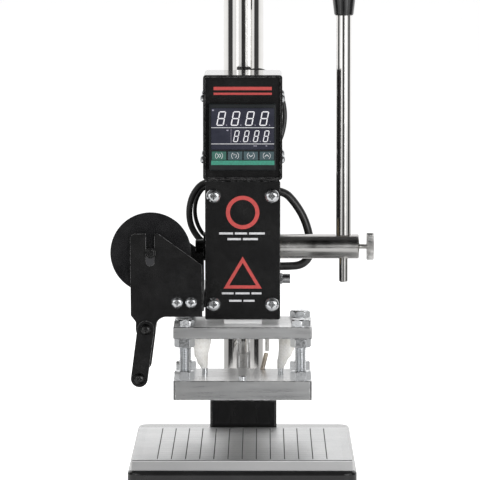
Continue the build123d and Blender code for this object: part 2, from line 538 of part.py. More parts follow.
SLEEVE_Z0, SLEEVE_Z1 = 97.8, UPPER_Z0 - 0.3
THIN_SLEEVE, THIN_SLEEVE_R = (17.9, 34.0, 104.0), 1.7
with BuildPart() as lead_sleeves:
    for side, lean in ((-1, 1.1), (1, 4.6)):
        foot_x, mid_x, top_x = side * HEATER_X, side * (HEATER_X + lean * 0.7), side * (HEATER_X + lean)
        for x, z, half_x, half_y in ((foot_x, SLEEVE_Z0, 4.4, 4.0), (mid_x, 107, 6.4, 5.6),
                                     (top_x, SLEEVE_Z1, 7.2, 6.2)):
            with BuildSketch(Plane.XY.offset(z)):
                with Locations((x, 0)):
                    Ellipse(half_x, half_y)
        loft()
    rod_at(THIN_SLEEVE, "+z", THIN_SLEEVE_R, SLEEVE_Z1 - THIN_SLEEVE[2])
save(lead_sleeves, "lead_sleeves")

with BuildPart() as probe_tube:
    probe_plane = Plane(PROBE_FOOT, z_dir=Vector(*PROBE_TOP) - Vector(*PROBE_FOOT))
    with BuildSketch(probe_plane.offset(-3)):
        Circle(PROBE_R)
    extrude(amount=PROBE_L)
save(probe_tube, "probe_tube")


# ---------------------------------------------------------------- control box
HALF_BOX = BOX_W / 2
with BuildPart() as box_shell:
    box_at(-HALF_BOX, HALF_BOX, BOX_Y0, BOX_Y1, BOX_Z0, BOX_Z1)
    fillet(box_shell.edges().filter_by(Axis.Y), 2.2)
    inner = HALF_BOX - BOX_WALL
    with BuildSketch(Plane.XZ.offset(-BOX_Y0 + 1)):
        with Locations((0, (BOX_Z0 + BOX_Z1) / 2)):
            RectangleRounded(2 * inner, BOX_Z1 - BOX_Z0 - 2 * BOX_WALL, 0.8)
    extrude(amount=-(BOX_Y1 - BOX_Y0 + 2), mode=Mode.SUBTRACT)
    for y in SIDE_SCREW_Y:
        with places([(-HALF_BOX - 1, y, z) for z in SIDE_SCREW_Z], "+x"):
            Cylinder(1.6, BOX_W + 2, align=(Align.CENTER, Align.CENTER, Align.MIN), mode=Mode.SUBTRACT)
    with places([(x, BOX_SCREW_Y, BOX_Z0 - 1) for x in (-BOX_SCREW_X, BOX_SCREW_X)], "+z"):
        Cylinder(2.2, 5, align=(Align.CENTER, Align.CENTER, Align.MIN), mode=Mode.SUBTRACT)
save(box_shell, "box_shell")

PANEL_HALF = HALF_BOX - BOX_WALL - 0.1
PANEL_Z0, PANEL_Z1 = BOX_Z0 + BOX_WALL + 0.1, BOX_Z1 - BOX_WALL - 0.1


def panel(y0, y1, flange_y0, flange_y1):
    """A flat end panel with a bent flange down each side for the shell's screws."""
    with BuildSketch(Plane.XZ.offset(-y0)) as outline:
        with Locations((0, (PANEL_Z0 + PANEL_Z1) / 2)):
            RectangleRounded(2 * PANEL_HALF, PANEL_Z1 - PANEL_Z0, 1.0)
    extrude(outline.sketch, amount=-(y1 - y0))
    for x0, x1 in ((-PANEL_HALF, -PANEL_HALF + 1.5), (PANEL_HALF - 1.5, PANEL_HALF)):
        box_at(x0, x1, flange_y0, flange_y1, PANEL_Z0 + 3, PANEL_Z1 - 3)


with BuildPart() as box_front:
    panel(FRONT_PANEL_Y, FRONT_PANEL_Y + 1.5, FRONT_PANEL_Y + 1.4, FRONT_PANEL_Y + 14)
    half = CTRL_BODY_W / 2 + 0.1
    box_at(-half, half, -40, 0, CTRL_Z - half, CTRL_Z + half, Mode.SUBTRACT)
    with places([(-HALF_BOX, SIDE_SCREW_Y[0], z) for z in SIDE_SCREW_Z], "+x"):
        Cylinder(1.55, BOX_W, align=(Align.CENTER, Align.CENTER, Align.MIN), mode=Mode.SUBTRACT)
save(box_front, "box_front")

with BuildPart() as box_back:
    panel(BACK_PANEL_Y, BACK_PANEL_Y + 1.5, BACK_PANEL_Y - 12, BACK_PANEL_Y + 0.1)
    box_at(-INLET_HALF_W - 0.2, INLET_HALF_W + 0.2, 50, 70, INLET_Z - INLET_HALF_H - 0.2,
           INLET_Z + INLET_HALF_H + 0.2, Mode.SUBTRACT)
    box_at(ROCKER_X - ROCKER_HALF_W - 0.1, ROCKER_X + ROCKER_HALF_W + 0.1, 50, 70,
           ROCKER_Z - ROCKER_HALF_H - 0.1, ROCKER_Z + ROCKER_HALF_H + 0.1, Mode.SUBTRACT)
    rod_at((OUTLET_X, 50, OUTLET_Z), "+y", 4.0, 20, Mode.SUBTRACT)
    with places([(x, 50, INLET_Z) for x in (-INLET_SCREW_X, INLET_SCREW_X)], "+y"):
        Cylinder(1.55, 20, align=(Align.CENTER, Align.CENTER, Align.MIN), mode=Mode.SUBTRACT)
    with places([(-HALF_BOX, SIDE_SCREW_Y[1], z) for z in SIDE_SCREW_Z], "+x"):
        Cylinder(1.55, BOX_W, align=(Align.CENTER, Align.CENTER, Align.MIN), mode=Mode.SUBTRACT)
save(box_back, "box_back")

side_screw = pan_screw(2.9, 2.0, 1.5, 5.5)
inlet_screw = pan_screw(2.7, 1.8, 1.5, 6.0)
floor_screw = pan_screw(4.0, 2.6, 1.95, 10.0)
with BuildPart() as box_screws:
    for y in SIDE_SCREW_Y:
        with places([(HALF_BOX, y, z) for z in SIDE_SCREW_Z], "+x"):
            add(side_screw)
        with places([(-HALF_BOX, y, z) for z in SIDE_SCREW_Z], "-x"):
            add(side_screw)
    with places([(x, BACK_PANEL_Y + 4.0, INLET_Z) for x in (-INLET_SCREW_X, INLET_SCREW_X)], "+y"):
        add(inlet_screw)
    with places([(x, BOX_SCREW_Y, BOX_Z0 + BOX_WALL) for x in (-BOX_SCREW_X, BOX_SCREW_X)], "+z"):
        add(floor_screw)
save(box_screws, "box_screws")

# ---------------------------------------------------------------- temperature controller
HALF_CTRL = CTRL_W / 2
with BuildPart() as controller_body:
    half = CTRL_BODY_W / 2
    box_at(-half, half, CTRL_Y0 + BEZEL_T, CTRL_Y0 + BEZEL_T + CTRL_BODY_D, CTRL_Z - half, CTRL_Z + half)
    chamfer(controller_body.edges().group_by(Axis.Y)[-1], 1.5)
    for x in KEY_X:
        rod_at((x, CTRL_Y0 + BEZEL_T - 0.1, KEY_Z), "+y", 1.7, 6.0, Mode.SUBTRACT)
save(controller_body, "controller_body")

with BuildPart() as controller_bezel:
    box_at(-HALF_CTRL, HALF_CTRL, CTRL_Y0, CTRL_Y0 + BEZEL_T, CTRL_Z - HALF_CTRL, CTRL_Z + HALF_CTRL)
    fillet(controller_bezel.edges().filter_by(Axis.Y), 1.2)
    fillet(controller_bezel.edges().group_by(Axis.Y)[0], 0.9)
    box_at(-WINDOW_HALF - 0.1, WINDOW_HALF + 0.1, CTRL_Y0 - 1, CTRL_Y0 + 1.2, WINDOW_Z0 - 0.1, WINDOW_Z1 + 0.1,
           Mode.SUBTRACT)
    for x in KEY_X:
        half = KEY_W / 2 + 0.15
        box_at(x - half, x + half, CTRL_Y0 - 1, CTRL_Y0 + BEZEL_T - 2, KEY_Z - KEY_H / 2 - 0.15,
               KEY_Z + KEY_H / 2 + 0.15, Mode.SUBTRACT)
        rod_at((x, CTRL_Y0, KEY_Z), "+y", 1.8, 12, Mode.SUBTRACT)
save(controller_bezel, "controller_bezel")

with BuildPart() as controller_window:
    box_at(-WINDOW_HALF, WINDOW_HALF, CTRL_Y0 + 0.4, CTRL_Y0 + 1.15, WINDOW_Z0, WINDOW_Z1)
save(controller_window, "controller_window")

for number, x in enumerate(KEY_X, start=1):
    with BuildPart() as key:
        box_at(x - KEY_W / 2, x + KEY_W / 2, CTRL_Y0 - 0.3, CTRL_Y0 + 1.6, KEY_Z - KEY_H / 2,
               KEY_Z + KEY_H / 2)
        fillet(key.edges().group_by(Axis.Y)[0], 0.25)
        rod_at((x, CTRL_Y0 + 1.5, KEY_Z), "+y", 1.5, 8.5)
    save(key, f"key_{number}")

with BuildPart() as solid_state_relay:
    box_at(RELAY_X0, RELAY_X1, RELAY_Y0, RELAY_Y1, BOX_Z0 + BOX_WALL, BOX_Z0 + BOX_WALL + RELAY_H)
save(solid_state_relay, "solid_state_relay")

# ---------------------------------------------------------------- rear panel fittings
with BuildPart() as power_inlet:
    box_at(-24.0, 24.0, BACK_PANEL_Y + 1.5, BACK_PANEL_Y + 4.0, INLET_Z - 11, INLET_Z + 11)
    fillet(power_inlet.edges().filter_by(Axis.Y), 3.0)
    box_at(-INLET_HALF_W, INLET_HALF_W, BACK_PANEL_Y - 2.0, BACK_PANEL_Y + 2.0, INLET_Z - INLET_HALF_H,
           INLET_Z + INLET_HALF_H)
    box_at(-INLET_HALF_W + 1.2, INLET_HALF_W - 1.2, BACK_PANEL_Y - 1.0, BACK_PANEL_Y + 9.0,
           INLET_Z - INLET_HALF_H + 1.5, INLET_Z + INLET_HALF_H - 1.5, Mode.SUBTRACT)
    for x in (-7, 0, 7):
        box_at(x - 1, x + 1, BACK_PANEL_Y - 2.0, BACK_PANEL_Y + 3.0, INLET_Z - 2.2, INLET_Z + 2.2)
    with places([(x, BACK_PANEL_Y, INLET_Z) for x in (-INLET_SCREW_X, INLET_SCREW_X)], "+y"):
        Cylinder(1.55, 10, align=(Align.CENTER, Align.CENTER, Align.MIN), mode=Mode.SUBTRACT)
save(power_inlet, "power_inlet")

ROCKER_Y = BACK_PANEL_Y + 2.4
with BuildPart() as rocker_frame:
    box_at(ROCKER_X - 11.5, ROCKER_X + 11.5, BACK_PANEL_Y + 1.5, BACK_PANEL_Y + 3.4, ROCKER_Z - 8.2,
           ROCKER_Z + 8.2)
    chamfer(rocker_frame.edges().group_by(Axis.Y)[-1], 0.5)
    box_at(ROCKER_X - ROCKER_HALF_W, ROCKER_X + ROCKER_HALF_W, BACK_PANEL_Y - 10, BACK_PANEL_Y + 2,
           ROCKER_Z - ROCKER_HALF_H, ROCKER_Z + ROCKER_HALF_H)
    box_at(ROCKER_X - 8.5, ROCKER_X + 8.5, BACK_PANEL_Y - 5, BACK_PANEL_Y + 5, ROCKER_Z - 5.3,
           ROCKER_Z + 5.3, Mode.SUBTRACT)
save(rocker_frame, "rocker_frame")

with BuildPart() as power_rocker:
    with BuildSketch(Plane.XY.offset(ROCKER_Z - 5.0)):
        with BuildLine():
            Polyline((ROCKER_X - 7.3, ROCKER_Y - 2.4), (ROCKER_X + 7.3, ROCKER_Y - 2.4),
                     (ROCKER_X + 7.4, ROCKER_Y + 3.0), (ROCKER_X, ROCKER_Y + 1.2),
                     (ROCKER_X - 7.4, ROCKER_Y + 1.4), close=True)
        make_face()
    extrude(amount=10.0)
    fillet(power_rocker.edges().filter_by(Axis.Z), 0.4)
save(power_rocker, "power_rocker")

# ---------------------------------------------------------------- foil holder
with BuildPart() as holder_bar:
    box_at(BAR_X0, -HEAD_W / 2, -HOLD_Y, HOLD_Y, BAR_Z0, BAR_Z1)
    chamfer(holder_bar.edges().filter_by(Axis.Y), 0.8)
    box_at(-HEAD_W / 2 - 1.2, 0, -HOLD_Y - 1, HEAD_Y0 + 0.1, BAR_Z0 - 1, BAR_Z1 + 1, Mode.SUBTRACT)
    for y in BAR_SCREW_Y:
        rod_at((BAR_X0 - 1, y, BAR_SCREW_Z), "+x", 2.7, 40, Mode.SUBTRACT)
        rod_at((BAR_X0 - 1, y, BAR_SCREW_Z), "+x", 4.6, 7, Mode.SUBTRACT)
    with places([(x, -HOLD_Y, z) for x, z in HOLD_SCREWS], "+y"):
        Cylinder(2.5, 12, align=(Align.CENTER, Align.CENTER, Align.MIN), mode=Mode.SUBTRACT)
    with places([(x, HOLD_Y, z) for x, z in HOLD_SCREWS], "-y"):
        Cylinder(2.5, 12, align=(Align.CENTER, Align.CENTER, Align.MIN), mode=Mode.SUBTRACT)
save(holder_bar, "holder_bar")

NECK_R = 7.2
with BuildPart() as holder_plates:
    for y0 in (-HOLD_Y - HOLD_T, HOLD_Y):
        with BuildSketch(Plane.XZ.offset(-y0)):
            with BuildLine():
                Polyline((-76.7, 197.9), (-60.2, 197.9), (-29.1, 175.4), (-28.7, 138.1), (-55.0, 138.1))
                ThreePointArc((-55.0, 138.1), (-59.2, 136.6), (PIVOT_X + NECK_R, 131.5))
                Line((PIVOT_X + NECK_R, 131.5), (PIVOT_X + NECK_R, PIVOT_Z))
                ThreePointArc((PIVOT_X + NECK_R, PIVOT_Z), (PIVOT_X, PIVOT_Z - NECK_R),
                              (PIVOT_X - NECK_R, PIVOT_Z))
                Polyline((PIVOT_X - NECK_R, PIVOT_Z), (PIVOT_X - NECK_R, 134.5), (-80.2, 139.2),
                         (-80.6, 194.0))
                ThreePointArc((-80.6, 194.0), (-79.5, 196.8), (-76.7, 197.9))
            make_face()
            with Locations((SLOT_X, SLOT_Z)):
                Circle(SLOT_R, mode=Mode.SUBTRACT)
            with Locations((SLOT_X, SLOT_Z + 15)):
                Rectangle(2 * SLOT_R, 30, mode=Mode.SUBTRACT)
            with Locations((PIVOT_X, PIVOT_Z)):
                Circle(3.0 + RUN, mode=Mode.SUBTRACT)
            with Locations(*HOLD_SCREWS):
                Circle(2.7, mode=Mode.SUBTRACT)
        extrude(amount=-HOLD_T)
save(holder_plates, "holder_plates")

holder_screw = pan_screw(4.3, 3.0, 2.45, 12.0)
with BuildPart() as holder_screws:
    with places([(x, -HOLD_Y - HOLD_T, z) for x, z in HOLD_SCREWS], "-y"):
        add(holder_screw)
    with places([(x, HOLD_Y + HOLD_T, z) for x, z in HOLD_SCREWS], "+y"):
        add(holder_screw)
save(holder_screws, "holder_screws")

with BuildPart() as axle_saddles:
    for y0 in (-HOLD_Y - HOLD_T, HOLD_Y):
        with BuildSketch(Plane.XZ.offset(-y0)):
            with Locations((SLOT_X, SLOT_Z)):
                Circle(SLOT_R - 0.05)
            with Locations((SLOT_X, SLOT_Z + 2.5)):
                Rectangle(2 * SLOT_R - 0.1, 5)
            with Locations((REEL_X, REEL_Z)):
                Circle(AXLE_R + 0.1, mode=Mode.SUBTRACT)
        extrude(amount=-HOLD_T)
save(axle_saddles, "axle_saddles")

with BuildPart() as reel_axle:
    rod_at((REEL_X, -HOLD_Y - HOLD_T - 2, REEL_Z), "+y", AXLE_R, 2 * (HOLD_Y + HOLD_T + 2))
    for y in (-HOLD_Y - HOLD_T - 1.4, HOLD_Y + HOLD_T + 0.2):
        rod_at((REEL_X, y, REEL_Z), "+y", 3.7, 1.2)
save(reel_axle, "reel_axle")

with BuildPart() as reel_core:
    rod_at((REEL_X, -CORE_Y, REEL_Z), "+y", CORE_R, 2 * CORE_Y)
    rod_at((REEL_X, -CORE_Y - 1, REEL_Z), "+y", AXLE_R + RUN, 2 * CORE_Y + 2, Mode.SUBTRACT)
save(reel_core, "reel_core")

with BuildPart() as reel_flanges:
    rod_at((REEL_X, -CORE_Y - FLANGE_T, REEL_Z), "+y", FRONT_FLANGE_R, FLANGE_T)
    rod_at((REEL_X, CORE_Y, REEL_Z), "+y", REAR_FLANGE_R, FLANGE_T)
    chamfer(reel_flanges.edges(), 0.3)
    rod_at((REEL_X, -CORE_Y - 5, REEL_Z), "+y", AXLE_R + RUN, 2 * CORE_Y + 10, Mode.SUBTRACT)
save(reel_flanges, "reel_flanges")

# ---------------------------------------------------------------- guide arm
LEAN = radians(ARM_LEAN)
ARM_FOOT = (PIVOT_X - ARM_LENGTH * sin(LEAN), PIVOT_Z - ARM_LENGTH * cos(LEAN))
GUIDE_R, ARM_HOLE_R = 3.0, 2.05
ARM_Y0 = HOLD_Y + HOLD_T + 0.3
with BuildPart() as guide_arms:
    for y0 in (-ARM_Y0 - ARM_T, ARM_Y0):
        with BuildSketch(Plane.XZ.offset(-y0)):
            with Locations(((PIVOT_X + ARM_FOOT[0]) / 2, (PIVOT_Z + ARM_FOOT[1]) / 2)):
                SlotCenterToCenter(ARM_LENGTH, 2 * ARM_HALF, rotation=90 - ARM_LEAN)
            with Locations((PIVOT_X, PIVOT_Z), ARM_FOOT):
                Circle(ARM_HOLE_R, mode=Mode.SUBTRACT)
        extrude(amount=-ARM_T)
save(guide_arms, "guide_arms")

with BuildPart() as guide_rods:
    for x, z in ((PIVOT_X, PIVOT_Z), ARM_FOOT):
        rod_at((x, -ARM_Y0, z), "+y", GUIDE_R, 2 * ARM_Y0)
        rod_at((x, -ARM_Y0 - 1, z), "+y", ARM_HOLE_R, 13, Mode.SUBTRACT)
        rod_at((x, ARM_Y0 + 1, z), "-y", ARM_HOLE_R, 13, Mode.SUBTRACT)
save(guide_rods, "guide_rods")

arm_screw = pan_screw(4.0, 2.9, 2.0, 12.0)
with BuildPart() as guide_arm_screws:
    with places([(x, -ARM_Y0 - ARM_T, z) for x, z in ((PIVOT_X, PIVOT_Z), ARM_FOOT)], "-y"):
        add(arm_screw)
    with places([(x, ARM_Y0 + ARM_T, z) for x, z in ((PIVOT_X, PIVOT_Z), ARM_FOOT)], "+y"):
        add(arm_screw)
save(guide_arm_screws, "guide_arm_screws")

# ---------------------------------------------------------------- cables and their grommets
RIGHT_D, LEFT_D, LEFT_THIN_D, REAR_D = 6.0, 4.7, 3.0, 3.5
GROMMET_X, GROMMET_WALL, GROMMET_L = ARM_W / 2, 1.4, 3.0
START_X = GROMMET_X + 0.1
RIGHT_CABLE = [(START_X, 60, 221), (30, 60, 221), (38.5, 60, 212), (45.5, 60, 200.5), (49.5, 60, 187),
               (50.8, 60, 174), (44.5, 60, 165.5), (33, 60, 164.5), (START_X, 60, 164.5)]
LEFT_CABLE = [(-START_X, 55, 228.5), (-29, 55, 228.5), (-37.2, 55, 219.5), (-40.4, 55, 208),
              (-39.4, 55, 196), (-34, 55, 186.5), (-27.5, 55, 181), (-START_X, 55, 181)]
LEFT_THIN_CABLE = [(-START_X, 63, 224.5), (-28.5, 63, 224.5), (-34.6, 63, 216), (-36.4, 63, 206),
                   (-34.6, 63, 196), (-28.5, 63, 185.5), (-START_X, 63, 185.5)]
REAR_FOOT = (14, 70, ARM_Z1)
REAR_CABLE = [(OUTLET_X, BACK_PANEL_Y + 1.6, OUTLET_Z), (OUTLET_X, 71, OUTLET_Z), (-8, 78.5, 298),
              (2.5, 81, 308.9), (16, 80.5, 309.9), (24.8, 78.5, 299.6), (30.3, 77.5, 286),
              (31.3, 76.5, 272), (28, 75, 258), (21, 73, 247), (14, 70, 240.5), (14, 70, ARM_Z1 + 0.1)]


def grommet(place, direction, diameter):
    """A rubber ring round the spot where a cable enters the casting or the box."""
    bore = diameter / 2 + 0.05
    rod_at(place, direction, bore + GROMMET_WALL, GROMMET_L)
    rod_at(place, direction, bore, GROMMET_L, Mode.SUBTRACT)


with BuildPart() as cable_grommets:
    for _, y, z in (RIGHT_CABLE[0], RIGHT_CABLE[-1]):
        grommet((GROMMET_X, y, z), "+x", RIGHT_D)
    for _, y, z in (LEFT_CABLE[0], LEFT_CABLE[-1]):
        grommet((-GROMMET_X, y, z), "-x", LEFT_D)
    for _, y, z in (LEFT_THIN_CABLE[0], LEFT_THIN_CABLE[-1]):
        grommet((-GROMMET_X, y, z), "-x", LEFT_THIN_D)
    grommet(REAR_FOOT, "+z", REAR_D)
    grommet((OUTLET_X, BACK_PANEL_Y + 1.5, OUTLET_Z), "+y", REAR_D)
save(cable_grommets, "cable_grommets")

cable("cable_right", RIGHT_CABLE, RIGHT_D)
cable("cable_left", LEFT_CABLE, LEFT_D)
cable("cable_left_thin", LEFT_THIN_CABLE, LEFT_THIN_D)
cable("cable_rear", REAR_CABLE, REAR_D)
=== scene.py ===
"""Visual model of a bench hot foil stamper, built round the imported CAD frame. Metres; the front faces -Y."""
import bmesh
import bpy
import json
from math import cos, pi, radians, sin, sqrt, tan
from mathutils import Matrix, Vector


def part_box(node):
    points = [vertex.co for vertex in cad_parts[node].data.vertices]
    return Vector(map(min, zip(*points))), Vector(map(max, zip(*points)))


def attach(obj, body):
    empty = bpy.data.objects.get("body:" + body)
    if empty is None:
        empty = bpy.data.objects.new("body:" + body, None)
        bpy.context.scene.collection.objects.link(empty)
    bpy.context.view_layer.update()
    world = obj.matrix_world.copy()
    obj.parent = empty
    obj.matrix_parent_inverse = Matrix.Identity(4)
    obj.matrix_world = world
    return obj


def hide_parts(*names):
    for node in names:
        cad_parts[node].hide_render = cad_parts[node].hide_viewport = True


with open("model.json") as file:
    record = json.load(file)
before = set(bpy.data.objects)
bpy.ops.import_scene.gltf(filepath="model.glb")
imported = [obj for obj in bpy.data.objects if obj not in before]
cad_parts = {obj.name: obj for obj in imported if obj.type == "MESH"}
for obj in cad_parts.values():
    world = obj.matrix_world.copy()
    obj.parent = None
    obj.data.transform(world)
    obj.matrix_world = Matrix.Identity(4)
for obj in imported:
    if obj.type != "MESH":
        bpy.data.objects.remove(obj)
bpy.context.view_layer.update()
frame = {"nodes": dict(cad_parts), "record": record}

MM = 0.001
NODES = frame["nodes"]
RAM_FOOT = 0.1352                # height of the joint above the white end of the ram, in metres


# ---------------------------------------------------------------- camera
IMAGE = 480                      # the picture's width and height in pixels
FOCAL = 4073.5                   # focal length in the same pixels
SENSOR_W = 36.0                  # width in mm that the focal length in mm is given for
CAMERA_AT = Vector((0.014, -2.960, 0.4375))
PITCH, YAW = radians(4.796), radians(0.3109)
camera_data = bpy.data.cameras.new("camera")
camera_data.sensor_width = SENSOR_W
camera_data.lens = FOCAL * SENSOR_W / IMAGE
camera_data.clip_end = 60.0
camera = bpy.data.objects.new("camera", camera_data)
bpy.context.scene.collection.objects.link(camera)
camera.location = CAMERA_AT
camera.rotation_euler = (pi / 2 - PITCH, 0.0, YAW)
bpy.context.scene.camera = camera


# ---------------------------------------------------------------- cables
def cable(name, node, points_mm, diameter_mm, material):
    """A cable as a smooth NURBS curve along its route's points, from grommet to grommet."""
    curve = bpy.data.curves.new(name, "CURVE")
    curve.dimensions = "3D"
    curve.bevel_depth = diameter_mm * MM / 2
    curve.bevel_resolution = 6
    curve.resolution_u = 16
    curve.use_fill_caps = True
    spline = curve.splines.new("NURBS")
    spline.points.add(len(points_mm) - 1)
    for point, place in zip(spline.points, points_mm):
        point.co = (place[0] * MM, place[1] * MM, place[2] * MM, 1.0)
    spline.order_u = 3
    spline.use_endpoint_u = True
    piece = bpy.data.objects.new(name, curve)
    bpy.context.scene.collection.objects.link(piece)
    curve.materials.append(material)
    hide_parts(node)
    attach(piece, "head")
    start = [value * MM for value in points_mm[0]]


# ---------------------------------------------------------------- material helpers
class Shader:
    """A Principled material with short calls for the procedural nodes that it needs."""

    def __init__(self, name, color, metallic=0.0, roughness=0.5, **values):
        self.material = bpy.data.materials.new(name)
        self.material.use_nodes = True
        self.nodes = self.material.node_tree.nodes
        self.links = self.material.node_tree.links
        self.bsdf = self.nodes["Principled BSDF"]
        self.bsdf.inputs["Base Color"].default_value = (*color, 1.0)
        self.bsdf.inputs["Metallic"].default_value = metallic
        self.bsdf.inputs["Roughness"].default_value = roughness
        for key, value in values.items():
            self.bsdf.inputs[key.replace("_", " ")].default_value = value
        self.place = self.nodes.new("ShaderNodeTexCoord").outputs["Object"]
        self.height = None
        self.rounding = None

    def new(self, kind, inputs=(), **settings):
        """A node whose inputs are linked where a socket is given, and set where a value is."""
        node = self.nodes.new(kind)
        for key, value in settings.items():
            setattr(node, key, value)
        for slot, value in dict(inputs).items():
            if isinstance(value, bpy.types.NodeSocket):
                self.links.new(value, node.inputs[slot])
            else:
                node.inputs[slot].default_value = value
        return node

    def math(self, operation, first, second=0.0, third=0.0):
        return self.new("ShaderNodeMath", {0: first, 1: second, 2: third}, operation=operation).outputs[0]

    def stretched(self, stretch):
        """The surface's own coordinates, scaled along each axis."""
        return self.new("ShaderNodeVectorMath", {0: self.place, 1: stretch}, operation="MULTIPLY").outputs[0]

    def noise(self, scale, detail=4.0, roughness=0.55, stretch=(1, 1, 1), distortion=0.0):
        vector = self.place if stretch == (1, 1, 1) else self.stretched(stretch)
        inputs = {"Vector": vector, "Scale": scale, "Detail": detail, "Roughness": roughness,
                  "Distortion": distortion}
        return self.new("ShaderNodeTexNoise", inputs).outputs["Fac"]

    def cells(self, scale):
        return self.new("ShaderNodeTexVoronoi", {"Vector": self.place, "Scale": scale}).outputs["Distance"]

    def spread(self, value, low, high, to_low=0.0, to_high=1.0):
        """The value's range low to high, spread evenly over to_low to to_high and held beyond."""
        inputs = {"Value": value, "From Min": low, "From Max": high, "To Min": to_low, "To Max": to_high}
        return self.new("ShaderNodeMapRange", inputs).outputs["Result"]

    def ramp(self, value, stops):
        """A colour that changes evenly between stops, each a place from 0 to 1 and a colour."""
        node = self.new("ShaderNodeValToRGB", {"Fac": value})
        elements = node.color_ramp.elements
        while len(elements) < len(stops):
            elements.new(0.5)
        for element, (position, color) in zip(elements, stops):
            element.position = position
            element.color = (*color, 1.0) if len(color) == 3 else color
        return node.outputs["Color"]

    def mix(self, factor, first, second):
        inputs = {0: factor, 6: first if isinstance(first, bpy.types.NodeSocket) else (*first, 1.0),
                  7: second if isinstance(second, bpy.types.NodeSocket) else (*second, 1.0)}
        return self.new("ShaderNodeMix", inputs, data_type="RGBA").outputs[2]

    def axis(self, name):
        return self.new("ShaderNodeSeparateXYZ", {0: self.place}).outputs[name]

    def raise_by(self, value, distance, strength=1.0):
        """Adds a bump of that height in metres to the surface."""
        inputs = {"Height": value, "Distance": distance, "Strength": strength}
        if self.height is not None:
            inputs["Normal"] = self.height
        elif self.rounding is not None:
            inputs["Normal"] = self.rounding
        self.height = self.new("ShaderNodeBump", inputs).outputs["Normal"]
        self.links.new(self.height, self.bsdf.inputs["Normal"])

    def round_edges(self, radius):
        """Edges catch the light as if they were broken to this radius, in metres."""
        self.rounding = self.new("ShaderNodeBevel", {"Radius": radius}, samples=4).outputs["Normal"]
        self.links.new(self.rounding, self.bsdf.inputs["Normal"])

    def edge_wear_and_glint(self, radius, low=0.02, high=0.25):
        """1 along edges and 0 on flats: worn edges, and also painted edge highlights where edges catch the
        light.
        """
        rounded = self.new("ShaderNodeBevel", {"Radius": radius}, samples=4).outputs["Normal"]
        flat = self.new("ShaderNodeNewGeometry").outputs["Normal"]
        likeness = self.new("ShaderNodeVectorMath", {0: rounded, 1: flat}, operation="DOT_PRODUCT")
        bent = self.math("SUBTRACT", 1.0, likeness.outputs["Value"])
        broken = self.math("MULTIPLY", bent, self.spread(self.noise(420, 5, 0.7), 0.42, 0.66))
        return self.spread(broken, low, high)

    def color(self, socket):
        self.links.new(socket, self.bsdf.inputs["Base Color"])

    def rough(self, socket):
        self.links.new(socket, self.bsdf.inputs["Roughness"])


def grey(value, tint=(1.0, 1.0, 1.0)):
    return tuple(value * part for part in tint)


# ---------------------------------------------------------------- materials
def powder_coat(name, shade, rough, wear_and_glint=0.75):
    """Satin black powder coat: fine orange peel, a little dust, and edges painted lighter grey, partly rubbed
    wear and partly painted highlight where edges catch the light.
    """
    s = Shader(name, grey(shade), roughness=rough, Specular_IOR_Level=0.06, Coat_Weight=1.0,
               Coat_Roughness=0.08)
    s.round_edges(0.0005)
    peel = s.noise(1100, 2, 0.5)
    dust = s.spread(s.noise(60, 6, 0.65), 0.45, 0.75)
    base = s.mix(s.spread(s.noise(240, 4), 0.35, 0.65), grey(shade * 0.93), grey(shade * 1.1, (1, 1, 1.04)))
    dusty = s.mix(s.math("MULTIPLY", dust, 0.04), base, grey(0.10, (1.0, 0.98, 0.94)))
    # Edges mixed towards grey: partly rubbed wear, partly a painted highlight standing in for edges that catch
    # the light.
    s.color(s.mix(s.math("MULTIPLY", s.edge_wear_and_glint(0.0006, 0.01, 0.12), wear_and_glint), dusty, grey(0.26)))
    dulled = s.math("MULTIPLY", dust, 0.06)
    s.rough(s.math("ADD", s.spread(peel, 0.3, 0.7, rough - 0.04, rough + 0.04), dulled))
    s.raise_by(peel, 0.0000022)
    return s.material


def milled_aluminium(name, along, shade=0.43, rough=0.30):
    """Milled plate: fine tool lines along one axis, faint overlapping cutter arcs, small dings, and a painted
    highlight: upward faces and edges coloured near white.
    """
    s = Shader(name, grey(shade), metallic=1.0, roughness=rough)
    s.round_edges(0.0006)
    stretch = tuple(0.02 if axis == along else 1.0 for axis in "xyz")
    lines = s.noise(2600, 3, 0.6, stretch)
    broad = s.noise(320, 3, 0.6, tuple(0.06 if axis == along else 1.0 for axis in "xyz"))
    cloud = s.noise(45, 5, 0.6)
    tone = s.math("ADD", s.math("MULTIPLY", broad, 0.35), s.math("MULTIPLY", cloud, 0.65))
    normal = s.new("ShaderNodeNewGeometry").outputs["Normal"]
    facing = s.new("ShaderNodeSeparateXYZ", {0: normal}).outputs["Z"]
    # Painted highlight: upward-facing faces and edges are coloured near white and made less metallic, as if
    # lit.
    bright = s.math("MAXIMUM", s.edge_wear_and_glint(0.0011, 0.01, 0.16), s.spread(facing, 0.7, 0.95, 0.0, 0.75))
    plain = s.ramp(tone, ((0.30, grey(shade * 0.90, (0.98, 0.99, 1.0))), (0.70, grey(shade * 1.06))))
    s.color(s.mix(bright, plain, grey(0.95)))
    s.links.new(s.spread(bright, 0.0, 1.0, 1.0, 0.35), s.bsdf.inputs["Metallic"])
    s.rough(s.spread(s.math("ADD", lines, broad), 0.7, 1.3, rough - 0.05, rough + 0.08))
    s.raise_by(lines, 0.000006)
    s.raise_by(s.spread(s.cells(200), 0.0, 0.06, 0.0, 1.0), 0.00002, 0.2)
    return s.material


PLATEN_PITCH, PLATEN_RIM = 0.010, 0.006    # engraved lines' pitch, and plain rim at front and back
LINES_HALF_W, TICKS_FROM = 0.0612, 0.0715  # how far from the middle the lines end and the ticks begin


